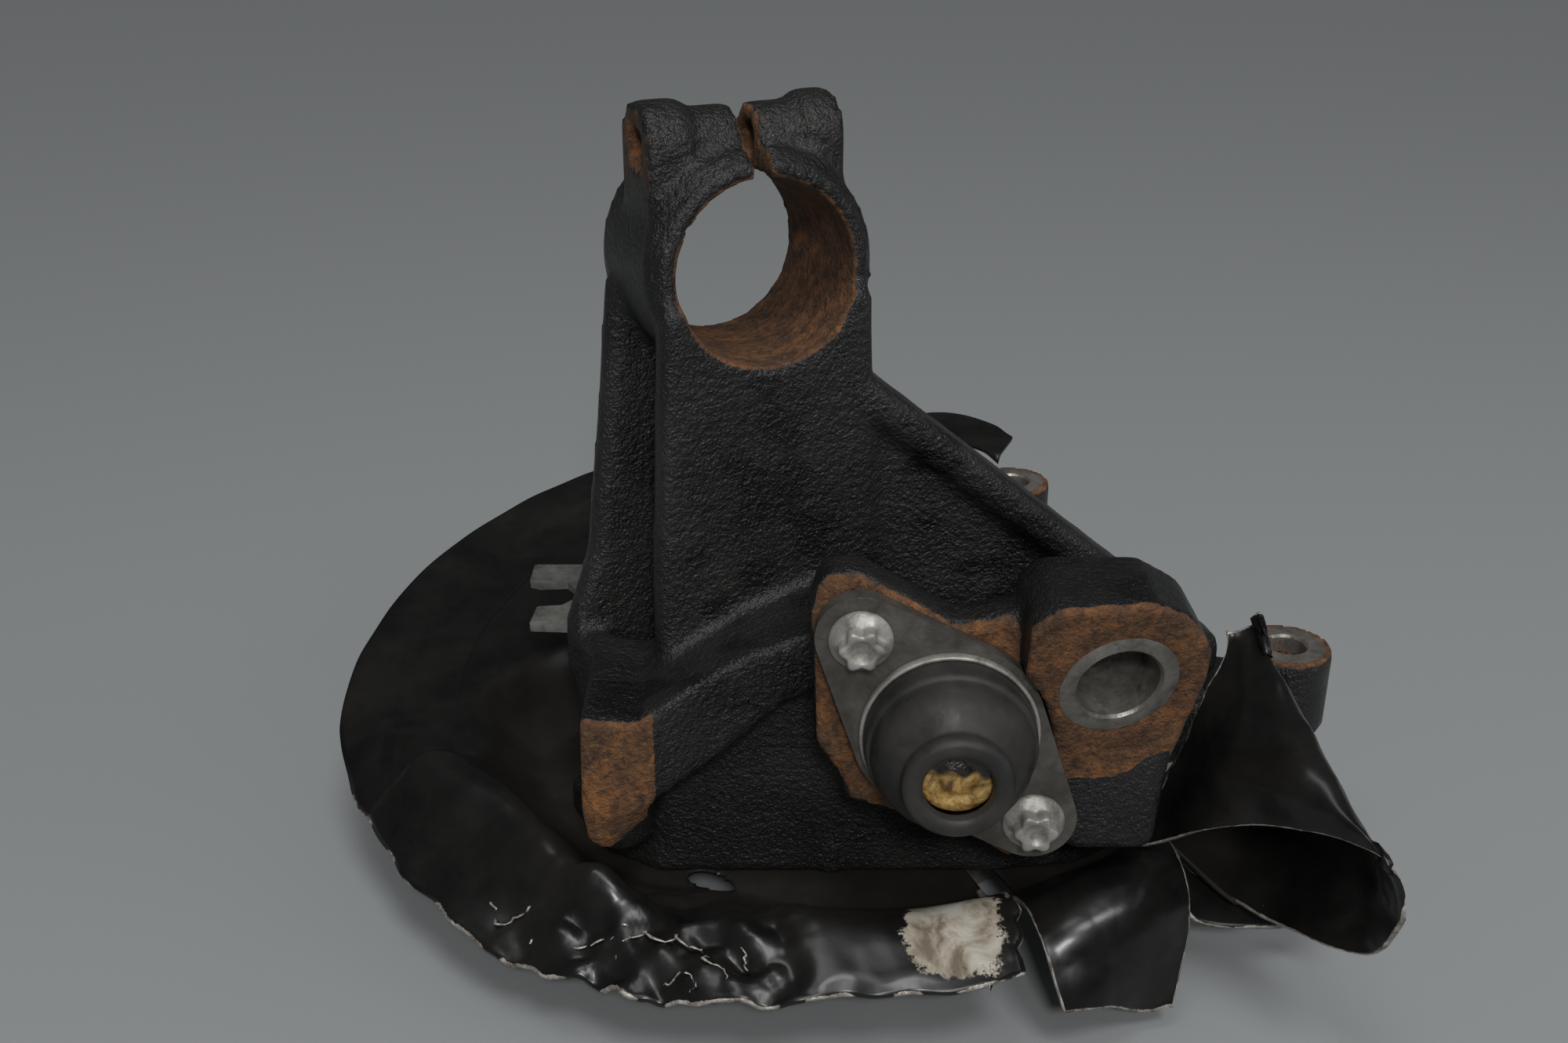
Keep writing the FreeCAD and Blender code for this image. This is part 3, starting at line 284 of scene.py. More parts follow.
# %% Shield paint
def shield_paint():
    net = Finish("black_sheet_paint", "shield_black", coat=0.16, coat_roughness=0.22, specular=0.30)
    stain = net.ramp(net.noise(0.03, 5, 0.65), (0.38, (0.0045, 0.0043, 0.0042)),
                     (0.66, (0.0115, 0.0108, 0.0100)))
    dust = net.sum("MULTIPLY", net.painted("dust"), net.ramp(net.noise(0.02, 6, 0.7), (0.3, 0.35), (0.7, 1)))
    colour = net.mix(net.sum("MULTIPLY", dust, 0.7), stain, (0.026, 0.022, 0.017))
    bare = net.frayed("torn", 0.007, 0.75, 1.3, -0.65, 0.48, 0.60)
    specks = net.ramp(net.noise(0.0032, 3, 0.6), (0.775, 0), (0.80, 0.8))
    bare = net.sum("MAXIMUM", bare, specks)
    edge = net.ramp(net.noise(0.004, 5, 0.7), (0.34, (0.10, 0.075, 0.055)), (0.50, (0.34, 0.31, 0.27)),
                    (0.70, (0.66, 0.65, 0.62)))
    colour = net.mix(bare, colour, edge)
    scraped = net.frayed("scrape", 0.011, 0.75, 1.5, -0.85, 0.46, 0.54)
    primer = net.ramp(net.noise(0.012, 5, 0.65, 0.5), (0.38, (0.15, 0.12, 0.085)), (0.50, (0.33, 0.29, 0.23)),
                      (0.66, (0.50, 0.48, 0.43)))
    colour = net.mix(scraped, colour, primer)
    gloss = net.ramp(net.noise(0.018, 4), (0.35, 0.26), (0.7, 0.40))
    gloss = net.mix(dust, gloss, (0.60, 0.60, 0.60))
    gloss = net.mix(net.sum("MAXIMUM", bare, scraped), gloss, (0.45, 0.45, 0.45))
    relief = net.bump(net.noise(0.012, 3), 0.0006, 0.35)
    relief = net.bump(net.sum("MULTIPLY", bare, net.noise(0.0018, 4)), 0.0006, 0.8, relief)
    metal = net.sum("MULTIPLY", bare, 0.45)
    return net.finish(Base_Color=colour, Roughness=gloss, Metallic=metal, Normal=relief)


black_sheet_paint = shield_paint()
print(black_sheet_paint.name, "-", len(black_sheet_paint.node_tree.nodes), "nodes")

# %% [markdown]
# ### Steels, rubber and plastic
# The smaller parts need quieter finishes. Machined steel is grey and faintly streaked, plated bolts are
# brighter, forged steel is darker and blotched with rust. The boot's rubber is dull with greasy,
# shinier smears, and the socket's liner is a waxy golden plastic.

# %% Smaller finishes
def steel_finish(name, slot, dark, light, rough, rust, grain=0.0012):
    """Bare or plated steel: streaks between two greys, with rust over a share of it."""
    net = Finish(name, slot)
    colour = net.ramp(net.noise(0.010, 6, 0.65, 0.4), (0.32, dark), (0.68, light))
    grime = net.ramp(net.noise(0.006, 6, 0.7, 0.4), (0.50, 0), (0.66, 0.6))
    colour = net.mix(grime, colour, (0.055, 0.045, 0.034))
    spots = net.ramp(net.noise(0.008, 6, 0.7, 0.5), (0.70 - rust, 0), (0.78 - rust, 1))
    colour = net.mix(spots, colour, rust_colour(net))
    sheen = net.ramp(net.noise(0.006, 4), (0.3, rough - 0.08), (0.7, rough + 0.12))
    gloss = net.mix(spots, sheen, (0.9, 0.9, 0.9))
    metal = net.sum("MULTIPLY", net.sum("SUBTRACT", 1.0, spots), 0.5)
    relief = net.bump(net.noise(grain, 3, 0.6), 0.00025, 0.5)
    return net.finish(Base_Color=colour, Roughness=gloss, Metallic=metal, Normal=relief)


def rubber_finish():
    net = Finish("boot_rubber", "rubber_black", specular=0.35)
    colour = net.ramp(net.noise(0.012, 5, 0.6), (0.35, (0.016, 0.0155, 0.015)), (0.7, (0.036, 0.033, 0.030)))
    grease = net.ramp(net.noise(0.016, 4, 0.6, 0.6), (0.52, 0), (0.66, 1))
    gloss = net.mix(grease, (0.58, 0.58, 0.58), (0.32, 0.32, 0.32))
    relief = net.bump(net.noise(0.0025, 4, 0.6), 0.0002, 0.5)
    return net.finish(Base_Color=colour, Roughness=gloss, Normal=relief)


def liner_finish():
    net = Finish("golden_liner", "liner_brown", coat=0.4, coat_roughness=0.15)
    colour = net.ramp(net.noise(0.005, 5, 0.7, 0.8), (0.34, (0.070, 0.034, 0.010)),
                      (0.50, (0.34, 0.20, 0.055)), (0.70, (0.62, 0.44, 0.18)))
    # painted shade: dark brown where the 'shade' number marks the lip's shadow on the wax
    colour = net.mix(net.painted("shade"), colour, (0.012, 0.008, 0.004))
    relief = net.bump(net.noise(0.0035, 4, 0.6), 0.0012, 0.8)
    return net.finish(Base_Color=colour, Roughness=0.35, Normal=relief)


bolt_steel = steel_finish("bolt_steel", "bolt_silver", (0.22, 0.21, 0.19), (0.42, 0.41, 0.38), 0.50, 0.0)
machined_steel = steel_finish("machined_steel", "machined_steel", (0.10, 0.09, 0.075), (0.24, 0.23, 0.21),
                              0.34, 0.03)
forged_steel = steel_finish("forged_steel", "joint_grey", (0.055, 0.050, 0.043), (0.125, 0.118, 0.105),
                            0.46, 0.10)
galvanised = steel_finish("galvanised_sheet", "galvanised", (0.11, 0.11, 0.10), (0.24, 0.24, 0.225),
                          0.42, 0.05, 0.003)
cap_steel = steel_finish("cap_steel", "grey_cap", (0.05, 0.05, 0.052), (0.11, 0.11, 0.11), 0.42, 0.05)
boot_rubber = rubber_finish()
golden_liner = liner_finish()
print("smaller finishes:", len(bpy.data.materials))

# %% [markdown]
# ## The casting's skin
# A sand casting has no sharp corners: the sand can't hold them, so every edge and inside corner is
# rounded. The solid has sharp ones. A copy of it is rebuilt as a fine even net (a voxel remesh) and then
# relaxed, which rounds edges and fills corners by a few millimetres at once. Relaxing also blurs what a
# machine cut, so the bores and faces are set back to their true radius and plane afterwards.

# %% Remeshed copy
VOXEL = 1.75 * MM


def merged_copy(node, name):
    """Copy of a solid's mesh as a new object, its loose triangles joined along their edges."""
    mesh = nodes[node].data.copy()
    mesh.name = name
    work = bmesh.new()
    work.from_mesh(mesh)
    bmesh.ops.remove_doubles(work, verts=work.verts, dist=1e-6)
    work.to_mesh(mesh)
    work.free()
    made = bpy.data.objects.new(name, mesh)
    bpy.context.scene.collection.objects.link(made)
    return made


def with_modifiers_applied(piece):
    """Replaces a piece's mesh by what its modifiers make of it."""
    graph = bpy.context.evaluated_depsgraph_get()
    mesh = bpy.data.meshes.new_from_object(piece.evaluated_get(graph))
    piece.modifiers.clear()
    piece.data = mesh
    mesh.polygons.foreach_set("use_smooth", np.full(len(mesh.polygons), True))


casting = merged_copy("knuckle_casting", "casting_skin")
remesh = casting.modifiers.new("even_net", "REMESH")
remesh.mode = "VOXEL"
remesh.voxel_size = VOXEL
with_modifiers_applied(casting)
print("casting net:", len(casting.data.polygons), "faces")

# %% [markdown]
# ### Relaxing the net
# Each point moves part of the way towards the mean of its neighbours, then a little back. The step
# back keeps the shape from shrinking. The neighbours are found once from the edges, and every pass is a
# few sums over whole arrays.

# %% Relax
def neighbour_means(mesh, values):
    """Mean of the values at each point's neighbours; values has one row a point."""
    edges = np.empty(len(mesh.edges) * 2, np.int64)
    mesh.edges.foreach_get("vertices", edges)
    first, second = edges.reshape(-1, 2).T
    size = len(values)
    count = np.bincount(first, minlength=size) + np.bincount(second, minlength=size)
    total = np.stack([np.bincount(first, column[second], size) + np.bincount(second, column[first], size)
                      for column in values.T], 1)
    return total / count[:, None]


def relax(piece, passes, share=0.5, back=-0.34):
    """Moves points by share, then by back, of the way to their neighbours' mean, several times."""
    mesh = piece.data
    places = vertices_of(mesh)
    for step in range(passes):
        for part in (share, back):
            places = places + part * (neighbour_means(mesh, places) - places)
    mesh.vertices.foreach_set("co", places.ravel())
    mesh.update()
    return places


skin = relax(casting, 5)
print("relaxed", len(skin), "points")

# %% [markdown]
# ### Machined bores and faces
# A bore is set by its axis and radius: any point of the net close to that cylinder is moved straight
# out or in to it. A face is set by its plane. The same distances then say which points are bare metal,
# so one pass gives both the shape and the numbers that the paint reads.

# %% Bores and faces
STRUT_R, PIN_R, PINCH_R, TAPPED_R, CALIPER_R = 26.5, 12, 6, 5.1, 6.5
CALIPER_BOSSES = ((142, -21), (68, 119))
CALIPER_FACE_Z, CALIPER_FACE_R = 74.7, 15
turn = math.radians(22)
pitch = math.radians(3)
strut_direction = np.array([-math.sin(turn) * math.cos(pitch), math.cos(turn) * math.cos(pitch),
                            -math.sin(pitch)])
strut_middle = np.array([-38.46, -39.61, 212.10]) * MM
across = np.array([-math.cos(turn), -math.sin(turn), 0.0])
ear_middle = np.array([-37.83, -41.17, 246.0]) * MM
pin_direction = np.array([0.1685, -0.9556, -0.2419])
pin_middle = np.array([66.6, -115.0, 113.0]) * MM
up = np.array([0.0, 0.0, 1.0])


def to_bore(places, middle, direction, radius, low, high, band=1.1 * MM):
    """Moves points near a cylinder onto it and returns which ones they were."""
    along = (places - middle) @ direction
    outward = places - middle - along[:, None] * direction
    distance = np.linalg.norm(outward, axis=1)
    near = (np.abs(distance - radius) < band) & (along > low) & (along < high)
    places[near] += outward[near] * (radius / distance[near] - 1)[:, None]
    return near


def to_face(places, middle, direction, reach, band=1.0 * MM):
    """Moves points near a round face onto its plane and returns which ones they were."""
    along = (places - middle) @ direction
    distance = np.linalg.norm(places - middle - along[:, None] * direction, axis=1)
    near = (np.abs(along) < band) & (distance < reach)
    places[near] -= along[near][:, None] * direction
    return near


strut_bore = to_bore(skin, strut_middle, strut_direction, STRUT_R * MM, -30 * MM, 30 * MM)
pin_bore = to_bore(skin, pin_middle, pin_direction, PIN_R * MM, -30 * MM, 3 * MM)
pinch = to_bore(skin, ear_middle, across, PINCH_R * MM, 2 * MM, 60 * MM)
tapped = to_bore(skin, ear_middle, across, TAPPED_R * MM, -60 * MM, -2 * MM)
caliper = np.zeros(len(skin), bool)
caliper_faces = np.zeros(len(skin), bool)
for x, y in CALIPER_BOSSES:
    caliper |= to_bore(skin, np.array([x, y, 60]) * MM, up, CALIPER_R * MM, -16 * MM, 15 * MM)
    caliper_faces |= to_face(skin, np.array([x, y, CALIPER_FACE_Z]) * MM, up, CALIPER_FACE_R * MM)
casting.data.vertices.foreach_set("co", skin.ravel())
casting.data.update()
print("points on bores:", strut_bore.sum(), pin_bore.sum(), pinch.sum(), caliper.sum())

# %% [markdown]
# ### Where the paint is gone
# Rust covers the strut bore, the sides of the clamp's split, the ear faces, the faces of the ball
# joint's seat and of the second boss, the caliper bosses and the rough face where the lower arm broke
# off. Dark oil has run down the neck's front plate.

# %% Bare and oily places
def soften(piece, values, passes):
    """Means of each value with its neighbours' values, so that a mask's border doesn't follow the net."""
    for step in range(passes):
        values = 0.5 * values + 0.5 * neighbour_means(piece.data, values[:, None])[:, 0]
    return values


def slab_mask(places, direction, middle, depth):
    """Points within depth of the plane through middle."""
    return np.abs((places - middle) @ direction) < depth


SPLIT_U, LEFT_EAR_U, RIGHT_EAR_U = -50.5, -81, -23
JOINT_SEAT_Y, BROKEN_Y = -108.6, -103.0
x, y, z = skin.T / MM
u = x * math.cos(turn) + y * math.sin(turn)
v = -x * math.sin(turn) + y * math.cos(turn)
normals = np.empty(len(skin) * 3)
casting.data.vertices.foreach_get("normal", normals)
normals = normals.reshape(-1, 3)
rust = np.zeros(len(skin))
rust[strut_bore | pinch | tapped | caliper_faces | caliper] = 1
rust[(np.abs(u - SPLIT_U) < 3.6) & (z > 236)] = 0.62
rust[((np.abs(u - LEFT_EAR_U) < 1.2) | (np.abs(u - RIGHT_EAR_U) < 1.2)) & (z > 232)] = 0.50
joint_seat = (y < JOINT_SEAT_Y) & (y > -111.5) & (x > -20) & (x < 42) & (z > 50) & (normals[:, 1] < -0.5)
rust[joint_seat] = 0.72
boss_front = slab_mask(skin, pin_direction, pin_middle, 2.0 * MM) & (x > 38) & (z > 78)
rust[boss_front] = 0.85
broken_face = (x < -62) & (y < BROKEN_Y) & (z > 44) & (z < 98) & (normals[:, 1] < -0.55)
rust[broken_face] = 1.1
rust = soften(casting, rust, 2)
steel = np.where(pin_bore, 1.0, 0.0)
oil = blend(wander(skin, 0.055, 5, 6) + 0.7 * wander(skin, 0.016, 6, 6), 0.25, 0.8)
oil *= (v < -47) & (z > 95) & (z < 190)
paint_attribute(casting, "rust", rust)
paint_attribute(casting, "steel", steel)
paint_attribute(casting, "oil", oil)
dress(casting, "carrier", black_cast_paint, "knuckle_casting")
print("bare share:", round(float((rust > 0.5).mean()), 3))

# %% [markdown]
# ## Turned pieces
# The boot, the bolts' flanges and the machined rings are all turned shapes: a profile of radius and
# height, carried round an axis. Between the profile's corners a smooth curve (Catmull-Rom) gives
# rubber its soft lines. The axis is any direction, so one function serves every one.

# %% Profiles round an axis
def smooth_line(corners, steps):
    """Catmull-Rom curve through the corners: steps points for each run, ends kept."""
    corners = np.asarray(corners, float)
    padded = np.vstack([2 * corners[0] - corners[1], corners, 2 * corners[-1] - corners[-2]])
    t = np.linspace(0, 1, steps, endpoint=False)[:, None]
    runs = []
    for a, b, c, d in zip(padded[:-3], padded[1:-2], padded[2:-1], padded[3:]):
        runs.append(0.5 * (2 * b + (c - a) * t + (2 * a - 5 * b + 4 * c - d) * t ** 2
                           + (3 * b - a - 3 * c + d) * t ** 3))
    return np.vstack(runs + [corners[-1:]])


def turned(name, middle, direction, profile, steps=96, wave=None, closed=False):
    """Carries a profile of (radius, height) in millimetres round an axis. wave changes the radius."""
    profile = np.asarray(profile, float)
    direction = np.asarray(direction, float) / np.linalg.norm(direction)
    side = np.cross(direction, [0, 0, 1] if abs(direction[2]) < 0.9 else [1, 0, 0])
    side /= np.linalg.norm(side)
    other = np.cross(direction, side)
    angle = np.linspace(0, 2 * np.pi, steps, endpoint=False)
    radius = np.repeat(profile[:, :1], steps, 1)
    if wave is not None:
        radius = radius * wave(profile, angle)
    outward = np.cos(angle)[None, :, None] * side + np.sin(angle)[None, :, None] * other
    points = (np.asarray(middle) * MM + MM * profile[:, None, 1:] * direction
              + MM * radius[..., None] * outward)
    made = mesh_object(name, points, grid_quads(len(profile), steps, closed, True))
    tidy_mesh(made)
    return made


def tidy_mesh(piece, gap=1e-5):
    """Joins points that lie together, as those of a pole do, and turns every face outward."""
    work = bmesh.new()
    work.from_mesh(piece.data)
    bmesh.ops.remove_doubles(work, verts=work.verts, dist=gap)
    bmesh.ops.recalc_face_normals(work, faces=work.faces)
    work.to_mesh(piece.data)
    work.free()


print("curve through 3 corners has", len(smooth_line([(0, 0), (1, 1), (2, 0)], 8)), "points")

# %% [markdown]
# ### The boot
# A thick rubber bell: a bead gripped by a wire ring at its base, a full shoulder, a neck, and a rolled
# double lip round the empty mouth. The inner line follows the outer one a wall's thickness inside, and
# the two meet at the lip and the base, so the rubber is closed all round.

# %% Boot
JOINT = (20.6, -110.0, 98.4)
FRONT = (0, -1, 0)
outer = [(20.7, 5.2), (22.9, 5.4), (23.7, 6.4), (23.8, 9.0), (23.7, 13.5), (23.3, 15.0), (22.5, 15.8),
         (22.2, 17), (21.8, 19.5), (20.4, 23), (18.0, 26.2), (15.9, 28.4), (15.0, 29.6), (14.9, 30.6),
         (15.1, 32.0), (14.8, 33.6), (13.7, 34.7), (12.1, 34.95)]
inner = [(10.9, 34.8), (9.9, 34.2), (9.5, 33.2), (9.5, 31.5), (12.3, 27.4), (16.6, 22.2), (20.2, 17),
         (21.0, 11.5), (20.8, 8), (20.7, 5.6)]
wall = np.vstack([smooth_line(outer, 5), smooth_line(inner, 5)])
boot = turned("boot_rubber", JOINT, FRONT, wall, 128, closed=True)
dress(boot, "carrier", boot_rubber, "ball_joint_boot")

# %% [markdown]
# ### The socket's golden liner
# Through the boot's mouth a waxy golden plastic shows: the liner of the socket that the ball has left.
# It is a shallow bowl with a wavy rim, smeared with grease.

# %% Liner
bowl = [(0, -9.4), (5, -9.0), (9, -7.6), (11.8, -5.2), (12.95, -1.5), (12.9, 1.5), (12.4, 5.6),
        (13.2, 5.8), (13.9, 3.0), (14.4, -2.5), (13.2, -8.0), (10.0, -12.5), (5.5, -14.6), (0, -14.95)]
bowl_points = smooth_line(bowl, 4) + [0, 2.0]
bowl_points[:, 0] = np.maximum(bowl_points[:, 0], 0)
liner = turned("socket_liner", JOINT, FRONT, bowl_points, 72, closed=True,
               wave=lambda profile, angle: 1 + 0.006 * np.sin(3 * angle + 1)[None, :])
dress(liner, "carrier", golden_liner, "ball_joint_socket_liner")

# %% [markdown]
# ### Grease and wax in the mouth
# A lump of golden wax grease fills the boot's neck, a few millimetres behind the lip. Its face is wavy
# in two directions, so it glints unevenly. Its upper half is darkened with painted shade, standing in
# for the lip's shadow on it, and a number painted on its vertices says where.

# %% Wax
wax_profile = smooth_line([(0, 28.6), (3, 29.3), (6, 28.2), (8.6, 28.8), (10.6, 28.0), (10.6, 26.8),
                           (7, 25.0), (0, 24.5)], 6)
wax_profile[:, 0] = np.maximum(wax_profile[:, 0], 0)
wax = turned("golden_wax", JOINT, FRONT, wax_profile, 72,
             wave=lambda profile, angle: 1 + 0.05 * np.sin(2 * angle) * np.sin(profile[:, :1] * 0.9))
# painted shade: the upper part of the wax gets a number that darkens it, in place of the lip's shadow
wax_x, _, wax_z = (vertices_of(wax.data) / MM - JOINT).T
paint_attribute(wax, "shade", blend(wax_z + 0.12 * wax_x + 0.8 * np.sin(wax_x), 0.5, 2.2))
dress(wax, "carrier", golden_liner)

# %% [markdown]
# ### Retaining band
# A flat pale band holds the boot's base on the plate. Only its upper arc shows above the bulging rubber.

# %% Band
band_profile = [(23.2, 5.0), (24.6, 5.0), (25.0, 5.4), (25.0, 7.6), (24.7, 8.0), (24.0, 8.0), (23.9, 7.4),
                (23.2, 7.0)]
band = turned("boot_band", JOINT, FRONT, band_profile, 128, closed=True)
dress(band, "carrier", bolt_steel, "boot_retaining_ring")

# %% [markdown]
# ### Flange bolts
# Each bolt has a wide washer-like flange, a lobed head and a dished top. The lobes are a wave on the
# head's radius: six bumps round, with their height fading to nothing at the flange.

# %% Bolts
LOBES = 6


def flange_bolt(name, middle, direction, head, head_height, shank, length, stands_for):
    """Head and shank as one turned shape, its seat at height 0; head is the flange's radius in mm."""
    h = head
    profile = np.array([(0, -length), (shank - 0.9, -length), (shank, -length + 1), (shank, -0.05),
                        (h * 0.97, 0), (h, 0.4), (h, 1.0), (h * 0.95, 1.35), (h * 0.76, 2.4), (h * 0.66, 2.7),
                        (h * 0.635, 3.2), (h * 0.63, 5.2), (h * 0.615, 5.75), (h * 0.56, 6.0),
                        (h * 0.42, 6.0), (h * 0.36, 5.7), (h * 0.28, 5.1), (0, 4.9)])
    profile[5:, 1] *= head_height / 6.0

    def wave(profile, angle):
        on_head = blend(profile[:, 1], 2.4, 3.6) * blend(profile[:, 0], h * 0.45, h * 0.55)
        return 1 + 0.13 * on_head[:, None] * np.cos(LOBES * angle)[None, :]

    bolt = turned(name, middle, direction, profile, 120, wave)
    dress(bolt, "carrier", bolt_steel, stands_for)


reach, lean = 38.2, math.radians(49.3)
joint_x, joint_z = JOINT[0], JOINT[2]
for side, sign in (("upper", 1), ("lower", -1)):
    seat = (joint_x - sign * reach * math.cos(lean), -115, joint_z + sign * reach * math.sin(lean))
    flange_bolt("joint_bolt_" + side, seat, FRONT, 8.8, 8.0, 4.95, 28, "ball_joint_bolt_" + side)
flange_bolt("bracket_bolt", (-72, -4, 86.5), (0, 0, 1), 7.5, 7.0, 3.95, 21, "line_bracket_bolt")
print("three bolts")

# %% [markdown]
# ### Machined rings
# The second boss and the caliper bosses were spot-faced: a cutter left a flat grey ring round the
# hole. A thin turned ring lies on each face, just proud of it, with a bevelled rim.

# %% Rings
def bevel_shade(piece, angle=35):
    """Smooth shading with edges above that angle kept crisp."""
    piece.data.set_sharp_from_angle(angle=math.radians(angle))


def spot_ring(name, middle, direction, hole, rim, depth, material):
    """Thin flat ring round a hole, with its inner wall run down the bore."""
    profile = [(hole, -depth), (hole, -0.9), (hole + 0.7, -0.05), (rim - 0.5, -0.05), (rim, -0.25),
               (rim, -0.9), (hole + 0.6, -1.2), (hole + 0.35, -depth)]
    ring = turned(name, middle, direction, profile, 96, closed=True)
    bevel_shade(ring)
    dress(ring, "carrier", material)


RING_Z = 75.0
right_boss, back_boss = CALIPER_BOSSES
ring_places = (("caliper_ring_right", (*right_boss, RING_Z), (0, 0, 1), 6.45, 12.4, 6),
               ("caliper_ring_back", (*back_boss, RING_Z), (0, 0, 1), 6.45, 12.4, 6),
               ("pin_boss_ring", (66.6, -115, 113), tuple(pin_direction), 11.9, 17.0, 20))
for name, middle, direction, hole, rim, depth in ring_places:
    spot_ring(name, middle, direction, hole, rim, depth, machined_steel)
print(len(ring_places), "rings")

# %% [markdown]
# ## Plates and rings that keep their solids' shape
# The ball joint's plate, the line bracket, the hub and the bearing parts are crisp machined or pressed
# shapes, and their solids are right. A copy with merged edges takes a small Bevel, which catches a line
# of light as real edges do.

# %% Bevelled copies
def bevelled(node, name, body, material, width=0.4, segments=2):
    """Copy of a solid with narrow rounded edges."""
    piece = merged_copy(node, name)
    bevel = piece.modifiers.new("edges", "BEVEL")
    bevel.width = width * MM
    bevel.segments = segments
    bevel.limit_method = "ANGLE"
    bevel.angle_limit = math.radians(35)
    bevel.use_clamp_overlap = True
    piece.data.polygons.foreach_set("use_smooth", np.full(len(piece.data.polygons), True))
    bevel_shade(piece, 30)
    dress(piece, body, material, node)


bevelled("ball_joint_housing", "joint_plate", "carrier", forged_steel, 0.7, 3)
bevelled("line_bracket", "fork_bracket", "carrier", galvanised, 0.35)
kept = {"wheel_hub_flange": machined_steel, "bearing_inner_ring": machined_steel,
        "bearing_outer_ring": machined_steel, "bearing_snap_ring": bolt_steel,
        "bearing_rear_cap": cap_steel, "shield_screws": bolt_steel,
        "bearing_seal_outboard": boot_rubber, "bearing_seal_inboard": boot_rubber}
for node, material in kept.items():
    mesh = nodes[node].data
    mesh.materials.clear()
    mesh.materials.append(material)
print("solids kept with a finish:", len(kept))

# %% [markdown]
# ## The torn shield
# The shield was a round pressed sheet with two steps in it. The crash rolled its left front over a
# crest, crushed its front against the casting, and folded its right part up into a peak. The round part
# is a height over a polar grid. Its first rows hug the casting, and its outer rows follow a plane that
# the bent sheet now leans along.

# %% Round part
START, END = 63.5, 292.0  # degrees round the axis
HOLE_R, FULL_R, FLAT_R, FRONT_FLAT_R = 48.0, 177.0, 84, 97
FLAT_Z, RAMP, TRIM, SHEET = 24.5, 26, 34, 1.5
LEVEL, TILT, LIFT = 49, 0.141, 18  # the leaning plane that the outer rows follow


def rim_radius(angle):
    """Radius left at an angle in degrees: rounded at its back end, trimmed towards the front."""
    rounding = 20 * (1 - blend(angle, START - 2, START + 15))
    return FULL_R - rounding - TRIM * np.clip((angle - 188) / 80, 0, 1)


def flat_radius(angle):
    """Radius up to which the sheet lies flat under the casting."""
    rear = 34 * (1 - blend(angle, 85, 115))
    left = 24 * blend(angle, 165, 188)
    front = (FLAT_R + left - FRONT_FLAT_R) * blend(angle, 228, 246)
    return FLAT_R + rear + left - front


def sheet_height(r, angle):
    """Height of the underside: flat, then stepped up to the leaning plane, with crest and bulge."""
    plane = LEVEL + TILT * r * np.sin(np.radians(angle)) + LIFT * (1 - blend(angle, START, 95))
    rise = blend(r, flat_radius(angle), flat_radius(angle) + RAMP)
    step = np.where(angle < 200, -3 * blend(r, 135.5, 138.5) + 2 * blend(r, 156.5, 159.5), 0)
    crest = 154 - 27 * blend(angle, 192, 220)
    share = blend(angle, 186, 196) * (1 - blend(angle, 228, 242))
    roll = share * (9 * np.exp(-((r - crest) / 13) ** 2) - 9 * blend(r, crest + 2, rim_radius(angle)))
    span = np.clip(r - FRONT_FLAT_R, 0, None) / (rim_radius(angle) - FRONT_FLAT_R)
    bulge = 6 * np.sin(np.pi * np.clip(span, 0, 1)) ** 2 * blend(angle, 236, 252)
    return FLAT_Z + (plane + step + roll - FLAT_Z) * rise + bulge


ROWS, COLUMNS = 400, 66
angle = np.linspace(START, END, ROWS)[:, None]
share = np.linspace(0, 1, COLUMNS)[None, :]
crushed = blend(angle, 186, 205)
bite = wander(np.stack([angle / 9, 0 * angle], -1), 1.0, 11, 9)
rim = rim_radius(angle) - crushed * (1.6 + 1.5 * bite) - 0.3
r = HOLE_R + (rim - HOLE_R) * share
height = sheet_height(r, angle * np.ones_like(share))
px, py = r * np.cos(np.radians(angle)), r * np.sin(np.radians(angle))
plan = np.stack([px, py], -1)
print("round part:", ROWS, "by", COLUMNS, "points")

# %% [markdown]
# ### Creases
# Crushed sheet metal buckles into flat facets between sharp creases. Waves with sharp valleys, in
# three sizes, push the sheet up and down. They are strong where the left roll ends and weak elsewhere,
# so that the rest keeps the long smooth highlights of gloss paint.

# %% Creased heights
free = blend(r, flat_radius(angle) + 6, flat_radius(angle) + 24)
crumple = (1.7 * wander(plan, 40, 21, 5, True) + 1.0 * wander(plan, 17, 22, 6, True)
           + 0.4 * wander(plan, 8, 23, 7, True))
buckled = blend(angle, 222, 229) * (1 - blend(angle, 257, 264))
front_share = 0.14 * blend(angle, 196, 212) + 1.5 * buckled
dents = 0.35 * wander(plan, 38, 24, 6) * blend(angle, 70, 90)
height = height + free * (front_share * crumple + dents)
edge_curl = -2.2 * crushed * blend(share, 0.955, 1.0) * (0.6 + 0.4 * bite)
height = height + edge_curl
tear = 42.5 + 1.1 * wander(py[..., None] / 10, 1.0, 31, 5)
px = np.where((angle > 270) & (px > tear - 1), tear - 1, px)
round_part = np.stack([px, py, height], -1)
print("heights from", round(float(height.min()), 1), "to", round(float(height.max()), 1), "mm")

# %% [markdown]
# ### Openings and the back lobe
# Faces are left out inside an oval near the left front, where the floor shows through the sheet, and
# beside the rear caliper boss, so that only the raised lobe reaches past it. Points near the oval are
# moved onto it, so its edge is clean.

# %% Leave faces out
def onto_oval(points, middle, lean, half_length, half_width):
    """Moves points near an oval onto it; returns how far out each point lies (1 is on the oval)."""
    cos, sin = math.cos(lean), math.sin(lean)
    gap = points[..., :2] - middle
    along, across = gap @ [cos, sin], gap @ [-sin, cos]
    out = np.hypot(along / half_length, across / half_width)
    near = np.abs(out - 1) < 0.16
    points[..., 0][near] = middle[0] + gap[..., 0][near] / out[near]
    points[..., 1][near] = middle[1] + gap[..., 1][near] / out[near]
    out[near] = 1
    return out


